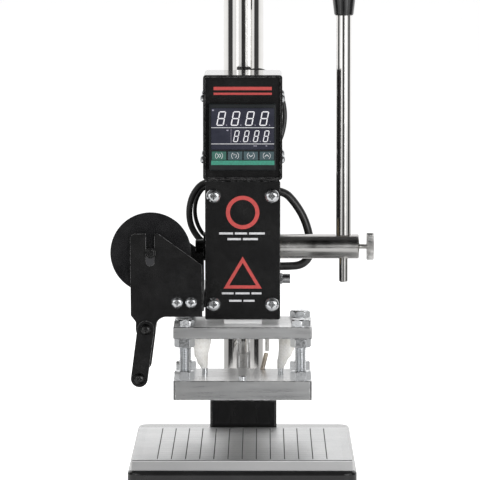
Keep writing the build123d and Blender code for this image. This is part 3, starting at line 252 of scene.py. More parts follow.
def lined_platen(name):
    """Sanded aluminium bed: dark engraved lines 10 mm apart, fainter cross lines and edge ticks, and painted
    shade on its sides.
    """
    s = Shader(name, grey(0.76), metallic=1.0, roughness=0.36)
    s.round_edges(0.0004)
    sand = s.noise(2400, 3, 0.6, (1.0, 0.03, 1.0))
    cloud = s.noise(30, 5, 0.65)
    low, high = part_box("platen")

    def lines(coordinate, pitch, half, offset=0.0):
        """1 on lines of that half width, one pitch apart."""
        centred = s.math("ADD", coordinate, 100 * pitch + pitch / 2 + offset)
        away = s.math("ABSOLUTE", s.math("SUBTRACT", s.math("MODULO", centred, pitch), pitch / 2))
        return s.spread(away, half * 0.75, half * 1.15, 1.0, 0.0)

    x, y = s.axis("X"), s.axis("Y")
    inside_x = s.math("LESS_THAN", s.math("ABSOLUTE", x), LINES_HALF_W)
    inside_y = s.math("MULTIPLY", s.math("GREATER_THAN", y, low[1] + PLATEN_RIM),
                      s.math("LESS_THAN", y, high[1] - PLATEN_RIM))
    top = s.math("GREATER_THAN", s.axis("Z"), high[2] - 0.0010)
    long_lines = s.math("MULTIPLY", lines(x, PLATEN_PITCH, 0.00034), s.math("MULTIPLY", inside_x, inside_y))
    across = s.math("MULTIPLY", s.math("MULTIPLY", lines(y, PLATEN_PITCH, 0.00022), inside_y), inside_x)
    edge_x = s.math("GREATER_THAN", s.math("ABSOLUTE", x), TICKS_FROM)
    ticks = s.math("MULTIPLY", s.math("MULTIPLY", lines(y, PLATEN_PITCH / 2, 0.00018), edge_x), inside_y)
    patchy = s.spread(s.noise(90, 3), 0.3, 0.7, 0.25, 0.6)
    faint = s.math("MULTIPLY", s.math("MAXIMUM", across, ticks), patchy)
    marked = s.math("MULTIPLY", s.math("MAXIMUM", long_lines, faint), top)
    plain = s.ramp(cloud, ((0.3, grey(0.70, (0.985, 0.995, 1.0))), (0.7, grey(0.80))))
    # Painted shade: every face but the top is mixed towards dark grey.
    tone_with_painted_side_shade = s.mix(s.spread(top, 0.0, 1.0, 0.70, 0.0), plain, grey(0.30))
    s.color(s.mix(marked, tone_with_painted_side_shade, grey(0.06)))
    s.rough(s.math("ADD", s.spread(sand, 0.3, 0.7, 0.30, 0.46), s.math("MULTIPLY", marked, 0.3)))
    s.raise_by(sand, 0.000015)
    return s.material


def polished(name, shade, rough, tint=(1.0, 1.0, 1.0), along="z", scratch=0.000004):
    """Chromed or ground bar: near mirror, with faint drawn lines and a trace of haze."""
    s = Shader(name, grey(shade, tint), metallic=1.0, roughness=rough)
    s.round_edges(0.0003)
    stretch = tuple(0.015 if axis == along else 1.0 for axis in "xyz")
    drawn = s.noise(900, 3, 0.6, stretch)
    haze = s.noise(70, 5, 0.7)
    s.color(s.ramp(haze, ((0.3, grey(shade * 0.94, tint)), (0.7, grey(shade * 1.02, tint)))))
    streaks = s.math("MULTIPLY", drawn, rough * 0.4)
    s.rough(s.math("ADD", s.spread(haze, 0.35, 0.75, rough, rough * 1.9), streaks))
    s.raise_by(drawn, scratch)
    return s.material


def ground_ram(name):
    """Ground steel ram whose foot, where it meets the upper plate, is coloured near white and made barely
    metallic.
    """
    s = Shader(name, grey(0.72), metallic=1.0, roughness=0.2)
    s.round_edges(0.0003)
    height, drawn, haze = s.axis("Z"), s.noise(900, 3, 0.6, (1.0, 1.0, 0.015)), s.noise(70, 5, 0.7)
    foot = s.spread(height, RAM_FOOT, RAM_FOOT + 0.0002, 1.0, 0.0)
    joint = s.spread(s.math("ABSOLUTE", s.math("SUBTRACT", height, RAM_FOOT)), 0.0001, 0.0003, 1.0, 0.0)
    steel = s.ramp(haze, ((0.3, (0.66, 0.65, 0.63)), (0.7, (0.76, 0.75, 0.73))))
    white = s.ramp(haze, ((0.3, grey(0.93)), (0.7, grey(0.96))))
    s.color(s.mix(joint, s.mix(foot, steel, white), grey(0.10)))
    s.links.new(s.spread(foot, 0.0, 1.0, 1.0, 0.1), s.bsdf.inputs["Metallic"])
    s.rough(s.math("ADD", s.spread(haze, 0.35, 0.75, 0.14, 0.26), s.math("MULTIPLY", foot, 0.25)))
    s.raise_by(drawn, 0.000008)
    return s.material


def plated(name, shade=0.86, tint=(0.97, 0.99, 1.01), rough=0.17):
    """Zinc plated fastener: bluish, mottled, with brighter edges that are partly rubbed wear and partly
    painted highlight.
    """
    s = Shader(name, grey(shade, tint), metallic=1.0, roughness=rough)
    s.round_edges(0.0002)
    mottle = s.noise(700, 4, 0.65)
    wear_and_glint = s.edge_wear_and_glint(0.0004, 0.01, 0.2)
    base = s.ramp(mottle, ((0.3, grey(shade * 0.90, tint)), (0.7, grey(shade * 1.08, tint))))
    # Edges mixed towards light grey, at least 0.5 even on black parts: partly wear, partly painted highlight.
    s.color(s.mix(s.math("MULTIPLY", wear_and_glint, 0.6), base, grey(min(0.9, max(0.5, shade * 1.6)))))
    s.rough(s.spread(mottle, 0.3, 0.7, rough - 0.04, rough + 0.08))
    s.raise_by(mottle, 0.000003)
    return s.material


def plastic(name, color, rough, coat=0.0, grain=0.00002, scale=2200, gleam=0.5):
    """Moulded plastic with a spark-eroded grain, small tone drift and light handling marks."""
    s = Shader(name, color, roughness=rough, Coat_Weight=coat, Coat_Roughness=0.08, Specular_IOR_Level=gleam)
    s.round_edges(0.0004)
    fine = s.noise(scale, 2, 0.5)
    marks = s.noise(55, 6, 0.7)
    darker = tuple(value * 0.82 for value in color)
    lighter = tuple(min(1.0, value * 1.18 + 0.002) for value in color)
    s.color(s.ramp(marks, ((0.3, darker), (0.7, lighter))))
    s.rough(s.spread(marks, 0.35, 0.75, rough, min(1.0, rough + 0.12)))
    s.raise_by(fine, grain)
    return s.material


def rubber(name, shade, rough):
    """Cable jacket and feet: smooth black rubber with faint bloom."""
    s = Shader(name, grey(shade), roughness=rough, Specular_IOR_Level=0.45)
    bloom = s.noise(180, 5, 0.7)
    s.color(s.ramp(bloom, ((0.3, grey(shade * 0.8)), (0.75, grey(shade * 2.1 + 0.004)))))
    s.rough(s.spread(bloom, 0.3, 0.75, rough - 0.05, rough + 0.14))
    s.raise_by(s.noise(1500, 2), 0.00002)
    return s.material


def braided(name):
    """White glass fibre sleeve: a fine crossed weave whose low gaps get painted shade, with yellowed and
    darker patches.
    """
    s = Shader(name, (0.90, 0.89, 0.87), roughness=0.7, Sheen_Weight=0.25)
    strands = []
    for vector in (s.place, s.stretched((-1, 1, 1))):
        inputs = {"Vector": vector, "Scale": 260.0, "Distortion": 1.5, "Detail": 2.0, "Detail Scale": 2.0}
        bands = s.new("ShaderNodeTexWave", inputs, wave_type="BANDS", bands_direction="DIAGONAL")
        strands.append(bands.outputs["Fac"])
    weave = s.math("MULTIPLY", *strands)
    stain = s.noise(120, 5, 0.65)
    clean = s.mix(s.spread(stain, 0.40, 0.75), (0.80, 0.795, 0.78), (0.70, 0.675, 0.62))
    # Painted shade: the low gaps of the weave are mixed towards dark grey.
    s.color(s.mix(s.spread(weave, 0.0, 0.5, 0.22, 0.0), clean, (0.50, 0.48, 0.45)))
    s.raise_by(weave, 0.00010)
    s.raise_by(s.noise(2600, 3), 0.00005)
    return s.material


def heat_tinted(name):
    """Stainless probe tube gone straw and brown from heat."""
    s = Shader(name, (0.42, 0.33, 0.26), metallic=1.0, roughness=0.3)
    tint = s.spread(s.axis("Z"), 0.090, 0.112)
    wander = s.math("ADD", tint, s.spread(s.noise(300, 4), 0.3, 0.7, -0.15, 0.15))
    s.color(s.ramp(wander, ((0.1, (0.46, 0.40, 0.34)), (0.5, (0.66, 0.58, 0.47)), (0.9, (0.74, 0.71, 0.66)))))
    s.raise_by(s.noise(900, 3, 0.6, (1, 1, 0.05)), 0.00001)
    return s.material


def printed(name, color, rough=0.55, wear=0.25):
    """Screen printed ink: slightly uneven, thin in places."""
    s = Shader(name, color, roughness=rough)
    patch = s.noise(900, 4, 0.6)
    thin = tuple(value * (1 - wear) for value in color)
    s.color(s.ramp(patch, ((0.35, thin), (0.62, color))))
    s.rough(s.spread(patch, 0.3, 0.7, rough - 0.08, rough + 0.1))
    s.raise_by(patch, 0.00001)
    return s.material


MATERIALS = {
    "painted_black": powder_coat("black_powder_coat", 0.0060, 0.34),
    "base_paint": powder_coat("black_base_enamel", 0.0070, 0.22),
    "machined_aluminium": milled_aluminium("milled_aluminium", "x"),
    "platen_aluminium": lined_platen("lined_platen"),
    "chrome_steel": polished("hard_chrome", 0.90, 0.035, (1.0, 0.985, 0.96)),
    "ground_steel": polished("ground_steel", 0.64, 0.14, (1.0, 0.985, 0.96), "x", 0.000008),
    "zinc_steel": plated("zinc_plated"),
    "black_steel": plated("black_oxide", 0.050, (1.0, 1.0, 1.0), 0.24),
    "bronze": plated("sintered_bronze", 0.26, (1.12, 0.92, 0.62), 0.38),
    "brass": plated("brass_strip", 0.60, (1.22, 0.95, 0.48), 0.30),
    "rubber": rubber("moulded_rubber", 0.018, 0.62),
    "black_gloss_plastic": plastic("black_phenolic", (0.006, 0.006, 0.0065), 0.12, 0.9, 0.000002, 500),
    "black_plastic": plastic("black_abs", (0.010, 0.010, 0.012), 0.36),
    "display_window": plastic("display_window", (0.016, 0.017, 0.026), 0.20, 0.10, 0.000003, gleam=0.22),
    "key_green": plastic("key_green", (0.020, 0.073, 0.057), 0.42, 0.0, 0.00001, 1600, 0.22),
    "key_grey": plastic("key_grey", (0.030, 0.052, 0.058), 0.42, 0.0, 0.00001, 1600, 0.22),
    "glass_sleeve": braided("glass_fibre_sleeve"),
    "cable_jacket": rubber("cable_jacket", 0.009, 0.34),
    "probe_steel": heat_tinted("heat_tinted_probe"),
    "core_board": plastic("reel_core_plastic", (0.030, 0.030, 0.031), 0.42),
}
for entry in frame["record"]["subparts"]:
    mesh = NODES[entry["node"]].data
    mesh.materials.clear()
    mesh.materials.append(MATERIALS[entry["material_slot"]])


def refinish(material, *nodes):
    """These nodes keep their record slot but show a variant made for their own shape."""
    for node in nodes:
        NODES[node].data.materials[0] = material


refinish(ground_ram("ground_ram"), "ram")
refinish(polished("rod_ground", 0.72, 0.12, (1.0, 0.985, 0.96), "y"), "guide_rods")
refinish(milled_aluminium("milled_block", "x", 0.38, 0.30), "heating_plate")
refinish(plated("dull_zinc", 0.50, (0.98, 0.99, 1.01), 0.20), "gib_screw")
refinish(plastic("bezel_abs", (0.0050, 0.0065, 0.0070), 0.36, gleam=0.20), "controller_bezel")


# ---------------------------------------------------------------- mesh helpers
def link(name, mesh, material, body, slot, *replaced):
    """Puts a mesh in the scene as a piece of that body, with its material; slot is not used."""
    piece = bpy.data.objects.new(name, mesh)
    bpy.context.scene.collection.objects.link(piece)
    mesh.materials.append(material)
    if replaced:
        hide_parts(*replaced)
    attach(piece, body)


def mesh_of(name, build, smooth=True):
    """A mesh from a bmesh that build() fills in millimetres."""
    made = bmesh.new()
    build(made)
    bmesh.ops.scale(made, vec=(MM, MM, MM), verts=made.verts)
    bmesh.ops.recalc_face_normals(made, faces=made.faces)
    mesh = bpy.data.meshes.new(name)
    made.to_mesh(mesh)
    made.free()
    for face in mesh.polygons:
        face.use_smooth = smooth
    if smooth:
        mesh.set_sharp_from_angle(angle=radians(32))
    return mesh


def skin(made, rings):
    """Joins closed rings of equally many points into a capped skin."""
    loops = [[made.verts.new(point) for point in ring] for ring in rings]
    for first, second in zip(loops, loops[1:]):
        count = len(first)
        for index in range(count):
            follow = (index + 1) % count
            made.faces.new((first[index], first[follow], second[follow], second[index]))
    made.faces.new(list(reversed(loops[0])))
    made.faces.new(loops[-1])


def turned(made, stations, place, count=72):
    """A skin round an axis: stations are (height, radius or radius(angle)), place() gives the points."""
    rings = []
    for height, radius in stations:
        ring = []
        for index in range(count):
            angle = 2 * pi * index / count
            value = radius(angle) if callable(radius) else radius
            ring.append(place(value * cos(angle), value * sin(angle), height))
        rings.append(ring)
    skin(made, rings)


def thread_radius(major, depth, pitch, height):
    """Radius round the axis of a single start thread, at a height."""
    def radius(angle):
        phase = (height / pitch - angle / (2 * pi)) % 1.0
        return major - depth * (1 - abs(2 * phase - 1)) ** 1.2
    return radius


def hexagon_radius(across_flats, limit):
    """Radius of a hexagon, cut back to a cone or circle of that radius."""
    def radius(angle):
        turn = (angle % (pi / 3)) - pi / 6
        return min(across_flats / 2 / cos(turn), limit)
    return radius


# ---------------------------------------------------------------- levelling bolts
PLATE_TOP, BOLT_TIP = 129.3, 81.3
HEAD_H, ACROSS_FLATS, M8_R, M8_PITCH = 5.3, 13.0, 4.0, 1.25
BOLT_X, BOLT_Y = 42, 32
BOLT_TURNS = ((-1, -1, 0.10), (1, -1, 0.62), (-1, 1, 0.35), (1, 1, 0.0))   # side, end, turn in radians


def hex_bolt(made, x, y, turn):
    """M8 bolt, its washer face on the plate and its thread running down to the tip."""
    def place(px, py, height):
        return (x + px * cos(turn) - py * sin(turn), y + px * sin(turn) + py * cos(turn), height)
    corner = ACROSS_FLATS / sqrt(3)
    head = [(PLATE_TOP, ACROSS_FLATS / 2 * 0.97), (PLATE_TOP + 0.35, ACROSS_FLATS / 2 * 0.97),
            (PLATE_TOP + 0.36, hexagon_radius(ACROSS_FLATS, corner)),
            (PLATE_TOP + HEAD_H - 1.2, hexagon_radius(ACROSS_FLATS, corner))]
    for step in range(6):
        height = PLATE_TOP + HEAD_H - 1.0 + step * 0.2
        head.append((height, hexagon_radius(ACROSS_FLATS, corner - 0.16 - 0.24 * step)))
    head.append((PLATE_TOP + HEAD_H, 4.6))
    head.append((PLATE_TOP + HEAD_H - 0.12, 4.3))
    turned(made, head, place, 96)
    steps = int((PLATE_TOP - BOLT_TIP) / M8_PITCH * 10)
    shank = []
    for step in range(steps + 1):
        height = BOLT_TIP + (PLATE_TOP - BOLT_TIP) * step / steps
        tip = min(1.0, (height - BOLT_TIP + 0.9) / 1.6)
        outer = thread_radius(M8_R - 0.03, 0.76, M8_PITCH, height)
        shank.append((height, lambda angle, outer=outer, tip=tip: outer(angle) * tip))
    turned(made, shank, place, 48)


def all_bolts(made):
    for side, end, turn in BOLT_TURNS:
        hex_bolt(made, side * BOLT_X, end * BOLT_Y, turn)


link("threaded_levelling_bolts", mesh_of("threaded_levelling_bolts", all_bolts), MATERIALS["zinc_steel"],
     "ram", "zinc_steel", "levelling_bolts")


# ---------------------------------------------------------------- thumbscrew
AXIS_Y, AXIS_Z = 27.65, 182.2
NECK_X, DISC_X, DISC_T, DISC_R = 77.5, 90.8, 5.4, 9.9


def knurled_screw(made):
    """M4 thumbscrew: thread, knurled disc with chamfered rims and a turned face."""
    def place(px, py, height):
        return (height, AXIS_Y + px, AXIS_Z + py)
    teeth = 60
    def knurl(base, depth):
        return lambda angle: base - depth * (0.5 - 0.5 * cos(teeth * angle)) ** 1.4
    stations = []
    steps = int((DISC_X - NECK_X) / 0.07)
    for step in range(steps + 1):
        height = NECK_X + (DISC_X - NECK_X) * step / steps
        stations.append((height, thread_radius(1.98, 0.36, 0.7, height)))
    stations += [(DISC_X, 7.6), (DISC_X, DISC_R - 0.55), (DISC_X + 0.35, knurl(DISC_R - 0.15, 0.30)),
                 (DISC_X + 0.60, knurl(DISC_R, 0.55)), (DISC_X + DISC_T - 0.60, knurl(DISC_R, 0.55)),
                 (DISC_X + DISC_T - 0.35, knurl(DISC_R - 0.15, 0.30)), (DISC_X + DISC_T, DISC_R - 0.55)]
    for ring in range(16):
        radius = (DISC_R - 0.75) * (1 - ring / 16)
        stations.append((DISC_X + DISC_T - 0.03 * (ring % 2), radius))
    stations.append((DISC_X + DISC_T, 0.15))
    turned(made, stations, place, teeth * 6)


link("knurled_thumbscrew", mesh_of("knurled_thumbscrew", knurled_screw),
     polished("thumbscrew_steel", 0.86, 0.13, (1, 0.99, 0.97), "x"),
     "thumbscrew", "ground_steel", "thumbscrew")


# ---------------------------------------------------------------- braided heater leads
def sleeve(made, stations, tows=15, bulge=0.0):
    """Braided tube with woven tows: stations are (x, y, z, half width, half depth)."""
    rings, count, rows = [], tows * 6, 72
    for row in range(rows + 1):
        along = row / rows * (len(stations) - 1)
        index = min(int(along), len(stations) - 2)
        part = along - index
        part = part * part * (3 - 2 * part)
        x, y, z, wide, deep = (a + (b - a) * part for a, b in zip(stations[index], stations[index + 1]))
        z = stations[0][2] + (stations[-1][2] - stations[0][2]) * row / rows
        ring = []
        for step in range(count):
            angle = 2 * pi * step / count
            weave = cos(tows * (angle + z * 0.16)) * cos(tows * (angle - z * 0.16))
            fold = bulge * (cos(3 * angle + z * 0.35) * 0.5 + cos(2 * angle - z * 0.22 + 1) * 0.5)
            grow = 1 + fold - 0.022 * (1 - weave)
            ring.append((x + wide * grow * cos(angle), y + deep * grow * sin(angle), z))
        rings.append(ring)
    skin(made, rings)


LEFT_SLEEVE = [(-28.2, 0, 95.2, 2.6, 2.5), (-29.4, 0, 98.5, 4.1, 3.8), (-30.4, 0, 102.5, 5.3, 4.7),
               (-30.1, 0, 108.0, 6.1, 5.3), (-29.6, 0, 114.5, 6.6, 5.8), (-29.3, 0, 120.4, 6.6, 5.9)]
RIGHT_SLEEVE = [(27.6, 0, 95.2, 2.5, 2.4), (28.8, 0, 98.5, 3.7, 3.5), (30.8, 0, 102.5, 5.0, 4.5),
                (32.0, 0, 108.0, 5.9, 5.2), (32.5, 0, 114.5, 6.4, 5.7), (32.5, 0, 120.4, 6.5, 5.8)]
PROBE_SLEEVE = [(17.9, 34.0, 104.0, 1.62, 1.62), (17.9, 34.0, 120.4, 1.62, 1.62)]


def all_sleeves(made):
    for stations in (LEFT_SLEEVE, RIGHT_SLEEVE):
        sleeve(made, stations, bulge=0.018)
    sleeve(made, PROBE_SLEEVE, tows=7)


link("braided_lead_sleeves", mesh_of("braided_lead_sleeves", all_sleeves), MATERIALS["glass_sleeve"], "ram",
     "glass_sleeve", "lead_sleeves")


# ---------------------------------------------------------------- printed graphics
def srgb(red, green, blue):
    """Linear colour from 0..255 values."""
    parts = (value / 255 for value in (red, green, blue))
    return tuple(part / 12.92 if part <= 0.04045 else ((part + 0.055) / 1.055) ** 2.4 for part in parts)


WHITE_INK = printed("white_ink", srgb(170, 170, 172))
RED_INK = printed("red_ink", srgb(158, 46, 42))
GREEN_INK = printed("green_ink", srgb(28, 112, 92))
FAINT_INK = printed("faint_ink", srgb(120, 118, 130))
SEGMENT_INK = printed("segment_ink", srgb(186, 185, 188), 0.4, 0.12)
INK = 0.06                       # how far print stands off its panel, in mm


def plate(made, outline, face_y, thickness=INK):
    """A thin flat shape on a panel that faces -Y: outline holds (x, z) points, face_y is the panel's face."""
    front = [made.verts.new((x, face_y - thickness, z)) for x, z in outline]
    back = [made.verts.new((x, face_y + 0.02, z)) for x, z in outline]
    made.faces.new(front)
    made.faces.new(list(reversed(back)))
    for index in range(len(front)):
        follow = (index + 1) % len(front)
        made.faces.new((front[index], back[index], back[follow], front[follow]))


def bar(made, x0, x1, z0, z1, face_y):
    plate(made, [(x0, z0), (x1, z0), (x1, z1), (x0, z1)], face_y)


def stroke(made, start, end, width, face_y, point=0.5):
    """A straight stroke with pointed ends, like one segment of a display."""
    along = Vector((end[0] - start[0], end[1] - start[1]))
    unit = along.normalized()
    side = Vector((-unit[1], unit[0])) * width / 2
    tip = unit * width * point
    a, b = Vector(start), Vector(end)
    plate(made, [tuple(a), tuple(a + tip + side), tuple(b - tip + side), tuple(b), tuple(b - tip - side),
                 tuple(a + tip - side)], face_y)


def arc(made, x, z, outer, width, face_y, sides, start=0.0, sweep=2 * pi):
    """A ring or a part of one, built from short tiles that meet at their ends."""
    inner = outer - width
    for index in range(sides):
        first, second = start + sweep * index / sides, start + sweep * (index + 1) / sides
        corners = ((outer, first), (outer, second), (inner, second), (inner, first))
        plate(made, [(x + radius * cos(angle), z + radius * sin(angle)) for radius, angle in corners], face_y)


def disc(made, x, z, radius, face_y, sides=16):
    angles = [2 * pi * index / sides for index in range(sides)]
    plate(made, [(x + radius * cos(angle), z + radius * sin(angle)) for angle in angles], face_y)


def figure(made, x, z, wide, tall, thick, slant, face_y):
    """A slanted eight in seven segments, whose lower left corner is (x, z)."""
    def at(u, v):
        return (x + u * wide + v * tall * tan(slant), z + v * tall)
    half, gap = thick / 2, 0.10
    left, right, low, middle, high = half / wide, 1 - half / wide, half / tall, 0.5, 1 - half / tall
    segments = (((left, high), (right, high)), ((right, high), (right, middle)),
                ((right, middle), (right, low)), ((left, low), (right, low)),
                ((left, middle), (left, low)), ((left, high), (left, middle)),
                ((left, middle), (right, middle)))
    for ends in segments:
        first, second = (Vector(at(*end)) for end in ends)
        trim = (second - first).normalized() * gap
        stroke(made, tuple(first + trim), tuple(second - trim), thick, face_y)


def print_on(name, build, ink, body, slot):
    """Print on a body's panel; slot is passed on to link, which does not use it."""
    link(name, mesh_of(name, build, smooth=False), ink, body, slot)


WINDOW_Y, BEZEL_Y, KEY_Y, COVER_Y, PANEL_Y = -32.6, -33.0, -33.3, -25.0, -24.5
SLANT = radians(11)


def big_figures(made):
    for index in range(4):
        figure(made, -19.1 + 10.3 * index, 274.3, 5.4, 10.5, 0.80, SLANT, WINDOW_Y)


def small_figures(made):
    for index in range(4):
        figure(made, -7.05 + 7.15 * index, 262.6, 3.5, 8.4, 0.62, SLANT, WINDOW_Y)


def window_lines(made):
    bar(made, -22.6, 22.7, 272.75, 273.20, WINDOW_Y)
    bar(made, -22.6, 22.7, 261.05, 261.50, WINDOW_Y)


def faint_marks(made):
    for index in range(4):
        disc(made, -11.6 + 10.3 * index, 274.8, 0.42, WINDOW_Y)
        disc(made, -1.6 + 7.15 * index, 263.0, 0.34, WINDOW_Y)
    bar(made, -8.45, -8.2, 261.9, 271.9, WINDOW_Y)
    for x in (8.4, 9.7, 17.1):
        bar(made, x - 0.5, x + 0.5, 259.5, 260.2, WINDOW_Y)
    bar(made, -22.0, -20.6, 285.0, 286.0, WINDOW_Y)
    bar(made, -11.6, -10.2, 270.6, 271.5, WINDOW_Y)


print_on("display_big_figures", big_figures, SEGMENT_INK, "head", "display_window")
print_on("display_small_figures", small_figures, SEGMENT_INK, "head", "display_window")
print_on("display_lines", window_lines, WHITE_INK, "head", "display_window")
print_on("display_faint_marks", faint_marks, FAINT_INK, "head", "display_window")
print_on("bezel_green_strip", lambda made: bar(made, -22.6, 22.9, 246.1, 249.3, BEZEL_Y), GREEN_INK, "head",
         "key_green")

KEY_Z = 252.8
KEYS = (("key_1", -17.0, "double"), ("key_2", -5.4, "return"), ("key_3", 5.9, "down"), ("key_4", 17.4, "up"))


def key_icon(made, x, kind):
    """Ringed arrow signs: double chevron, return, down and up."""
    for start in (-55, 125):
        arc(made, x, KEY_Z, 2.75, 0.32, KEY_Y, 24, radians(start), radians(110))
    if kind == "double":
        for dx in (-1.35, 0.15):
            stroke(made, (x + dx, KEY_Z + 1.4), (x + dx + 1.25, KEY_Z), 0.40, KEY_Y)
            stroke(made, (x + dx + 1.25, KEY_Z), (x + dx, KEY_Z - 1.4), 0.40, KEY_Y)
    if kind in ("down", "up"):
        sign = -1 if kind == "down" else 1
        for side in (-1.55, 1.55):
            stroke(made, (x + side, KEY_Z - sign * 0.75), (x, KEY_Z + sign * 0.8), 0.46, KEY_Y)
    if kind == "return":
        arc(made, x + 0.1, KEY_Z - 0.1, 1.15, 0.34, KEY_Y, 20, radians(-100), radians(230))
        stroke(made, (x - 1.25, KEY_Z + 0.85), (x + 0.1, KEY_Z + 0.85), 0.36, KEY_Y)
        stroke(made, (x - 1.25, KEY_Z + 0.85), (x - 0.55, KEY_Z + 1.45), 0.32, KEY_Y)
        stroke(made, (x - 1.25, KEY_Z + 0.85), (x - 0.55, KEY_Z + 0.25), 0.32, KEY_Y)


for node, key_x, kind in KEYS:
    print_on(node + "_sign", lambda made, x=key_x, kind=kind: key_icon(made, x, kind), WHITE_INK, node,
             "key_green" if node == "key_1" else "key_grey")


def cover_red(made):
    arc(made, 0.0, 211.2, 12.1, 2.9, COVER_Y, 72)
    base_z, apex_z, half, width = 156.0, 179.2, 13.8, 2.3
    centre_z = base_z + (apex_z - base_z) / 3
    outer = [(-half, base_z), (half, base_z), (0.0, apex_z)]
    shrink = 1 - width / ((apex_z - base_z) / 3)
    inner = [(x * shrink, centre_z + (z - centre_z) * shrink) for x, z in outer]
    for index in range(3):
        follow = (index + 1) % 3
        plate(made, [outer[index], outer[follow], inner[follow], inner[index]], COVER_Y)


def cover_white(made):
    for z, height, spans in ((196.0, 1.5, ((-17.0, -7.0), (-5.6, 3.2), (4.6, 16.0))),
                             (191.9, 1.5, ((-11.0, -1.2), (0.2, 11.0))),
                             (152.5, 1.4, ((-15.0, -6.6), (-5.2, 5.0), (6.4, 13.6))),
                             (147.1, 1.4, ((-9.8, -0.8), (0.6, 8.6)))):
        for x0, x1 in spans:
            bar(made, x0, x1, z - height / 2, z + height / 2, COVER_Y)


def panel_red(made):
    bar(made, -21.0, 21.0, 299.6, 302.0, PANEL_Y)
    bar(made, -21.0, 21.0, 296.2, 297.8, PANEL_Y)


print_on("cover_red_signs", cover_red, RED_INK, "head", "painted_black")
print_on("cover_white_dashes", cover_white, WHITE_INK, "head", "painted_black")
print_on("panel_red_stripes", panel_red, RED_INK, "head", "painted_black")


# ---------------------------------------------------------------- the four cables
RIGHT_CABLE = [(20.1, 60, 221), (30, 60, 221), (38.5, 60, 212), (45.5, 60, 200.5), (49.5, 60, 187),
               (50.8, 60, 174), (44.5, 60, 165.5), (33, 60, 164.5), (20.1, 60, 164.5)]
LEFT_CABLE = [(-20.1, 55, 228.5), (-29, 55, 228.5), (-37.2, 55, 219.5), (-40.4, 55, 208), (-39.4, 55, 196),
              (-34, 55, 186.5), (-27.5, 55, 181), (-20.1, 55, 181)]
LEFT_THIN_CABLE = [(-20.1, 63, 224.5), (-28.5, 63, 224.5), (-34.6, 63, 216), (-36.4, 63, 206),
                   (-34.6, 63, 196), (-28.5, 63, 185.5), (-20.1, 63, 185.5)]
REAR_CABLE = [(-14, 59.6, 287), (-14, 71, 287), (-8, 78.5, 298), (2.5, 81, 308.9), (16, 80.5, 309.9),
              (24.8, 78.5, 299.6), (30.3, 77.5, 286), (31.3, 76.5, 272), (28, 75, 258), (21, 73, 247),
              (14, 70, 240.5), (14, 70, 232.1)]
JACKET = MATERIALS["cable_jacket"]
cable("right_power_cable", "cable_right", RIGHT_CABLE, 6.0, JACKET)
cable("left_heater_cable", "cable_left", LEFT_CABLE, 4.7, JACKET)
cable("left_probe_cable", "cable_left_thin", LEFT_THIN_CABLE, 3.0, JACKET)
cable("rear_box_cable", "cable_rear", REAR_CABLE, 3.5, JACKET)


# ---------------------------------------------------------------- floor, tent and lights
def staged(name, build, material):
    """A piece of the studio, built in metres."""
    made = bmesh.new()
    build(made)
    mesh = bpy.data.meshes.new(name)
    made.to_mesh(mesh)
    made.free()
    mesh.materials.append(material)
    piece = bpy.data.objects.new(name, mesh)
    bpy.context.scene.collection.objects.link(piece)
    return piece


FLOOR_GLOW, FLOOR_MIRRORED = 0.48, 0.50    # the floor's own light, and its tone in polished surfaces
FLOOR_R, ROUND_SIDES = 40.0, 96
floor_paint = Shader("floor_paint", (0.90, 0.90, 0.90), roughness=0.85, Specular_IOR_Level=0.2,
                     Emission_Color=(1.0, 1.0, 1.0, 1.0), Emission_Strength=FLOOR_GLOW)
floor_ways = floor_paint.new("ShaderNodeLightPath").outputs["Is Glossy Ray"]
floor_tone = floor_paint.ramp(floor_paint.noise(6, 4), ((0.3, grey(0.89)), (0.7, grey(0.91))))
floor_paint.color(floor_paint.mix(floor_ways, floor_tone, grey(FLOOR_MIRRORED)))
glow = floor_paint.spread(floor_ways, 0.0, 1.0, FLOOR_GLOW, 0.0)
floor_paint.links.new(glow, floor_paint.bsdf.inputs["Emission Strength"])
floor_paint.material.cycles.emission_sampling = "NONE"


def floor_disc(made):
    bmesh.ops.create_circle(made, cap_ends=True, radius=FLOOR_R, segments=ROUND_SIDES)


staged("floor", floor_disc, floor_paint.material)

# What the bright metal mirrors: a tall round tent of pale and dark cloths, seen only in reflections.
# Each pair is a place, as a part of half a turn round from the front, and how bright the cloth is there.
TENT_BANDS = ((0.00, 0.030), (0.060, 0.035), (0.085, 0.72), (0.19, 0.80), (0.20, 2.2), (0.235, 2.2),
              (0.245, 0.80), (0.385, 0.88), (0.41, 0.045), (0.58, 0.055), (0.60, 0.80), (0.72, 0.95),
              (1.00, 1.00))
TENT_R, TENT_H = 0.75, 1.9


def tent_cloth():
    """Glowing cloth in upright bands, dimmer low down behind the object and high up in front of it."""
    s = Shader("tent_cloth", grey(0.0))
    height = s.axis("Z")
    turn = s.math("ARCTAN2", s.math("ABSOLUTE", s.axis("X")), s.math("MULTIPLY", s.axis("Y"), -1.0))
    part = s.math("DIVIDE", turn, pi)
    bands = s.ramp(part, [(place, grey(value)) for place, value in TENT_BANDS])
    low = s.spread(height, 0.10, 0.24, s.spread(part, 0.82, 0.93, 0.50, 1.0), 1.0)
    high = s.spread(height, 0.38, 0.48, 1.0, s.spread(part, 0.30, 0.50, 0.06, 1.0))
    glow = s.new("ShaderNodeEmission", {"Color": bands, "Strength": s.math("MULTIPLY", low, high)})
    s.links.new(glow.outputs[0], s.nodes["Material Output"].inputs["Surface"])
    s.nodes.remove(s.bsdf)
    s.material.cycles.emission_sampling = "NONE"
    return s.material


def tent_wall(made):
    bmesh.ops.create_cone(made, cap_ends=False, segments=ROUND_SIDES, radius1=TENT_R, radius2=TENT_R,
                          depth=TENT_H)
    bmesh.ops.translate(made, verts=made.verts, vec=(0, 0, TENT_H / 2))


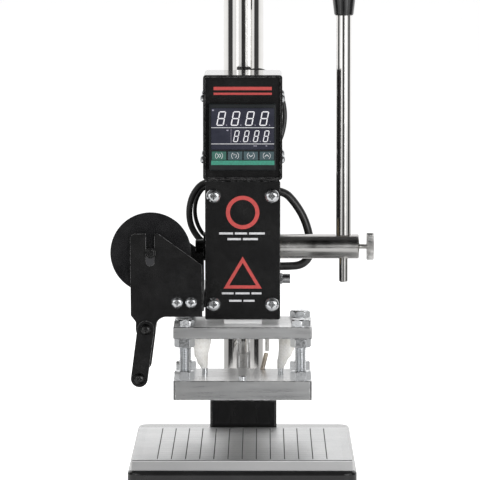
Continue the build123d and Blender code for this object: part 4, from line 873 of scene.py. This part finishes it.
tent = staged("reflection_tent", tent_wall, tent_cloth())
for kind in ("camera", "diffuse", "transmission", "volume_scatter", "shadow"):
    setattr(tent, "visible_" + kind, False)

# How bright the room is overhead: to matt surfaces, in polished ones, and seen behind the object.
SKY_FILL, SKY_MIRRORED, SKY_SEEN = 0.62, 0.06, 1.05
scene = bpy.context.scene
world = bpy.data.worlds.new("studio")
scene.world = world
world.use_nodes = True
sky = world.node_tree.nodes["Background"]
world_nodes, world_links = world.node_tree.nodes, world.node_tree.links
ways = world_nodes.new("ShaderNodeLightPath")
mirrored = world_nodes.new("ShaderNodeMapRange")
mirrored.inputs["To Min"].default_value = SKY_FILL
mirrored.inputs["To Max"].default_value = SKY_MIRRORED
seen = world_nodes.new("ShaderNodeMapRange")
seen.inputs["To Max"].default_value = SKY_SEEN
world_links.new(ways.outputs["Is Glossy Ray"], mirrored.inputs["Value"])
world_links.new(mirrored.outputs["Result"], seen.inputs["To Min"])
world_links.new(ways.outputs["Is Camera Ray"], seen.inputs["Value"])
world_links.new(seen.outputs["Result"], sky.inputs["Strength"])
sky.inputs["Color"].default_value = (1.0, 1.0, 1.0, 1.0)
scene.view_settings.view_transform = "Standard"


def softbox(name, at, aim, size, energy, shines):
    """A rectangular lamp of so many watts; shines says whether polished surfaces mirror it."""
    data = bpy.data.lights.new(name, "AREA")
    data.shape = "RECTANGLE"
    data.size, data.size_y = size
    data.energy = energy
    lamp = bpy.data.objects.new(name, data)
    scene.collection.objects.link(lamp)
    lamp.location = at
    lamp.rotation_mode = "QUATERNION"
    lamp.rotation_quaternion = (Vector(aim) - Vector(at)).to_track_quat("-Z", "Y")
    lamp.visible_camera = False
    lamp.visible_glossy = shines


softbox("key_softbox", (-1.1, -1.3, 1.7), (0, 0, 0.2), (1.0, 1.0), 30, False)
softbox("fill_softbox", (0.8, -1.65, 0.33), (0, 0, 0.15), (0.9, 0.5), 17, True)
softbox("top_softbox", (0.1, 0.2, 1.9), (0, 0, 0.2), (1.2, 1.2), 18, False)
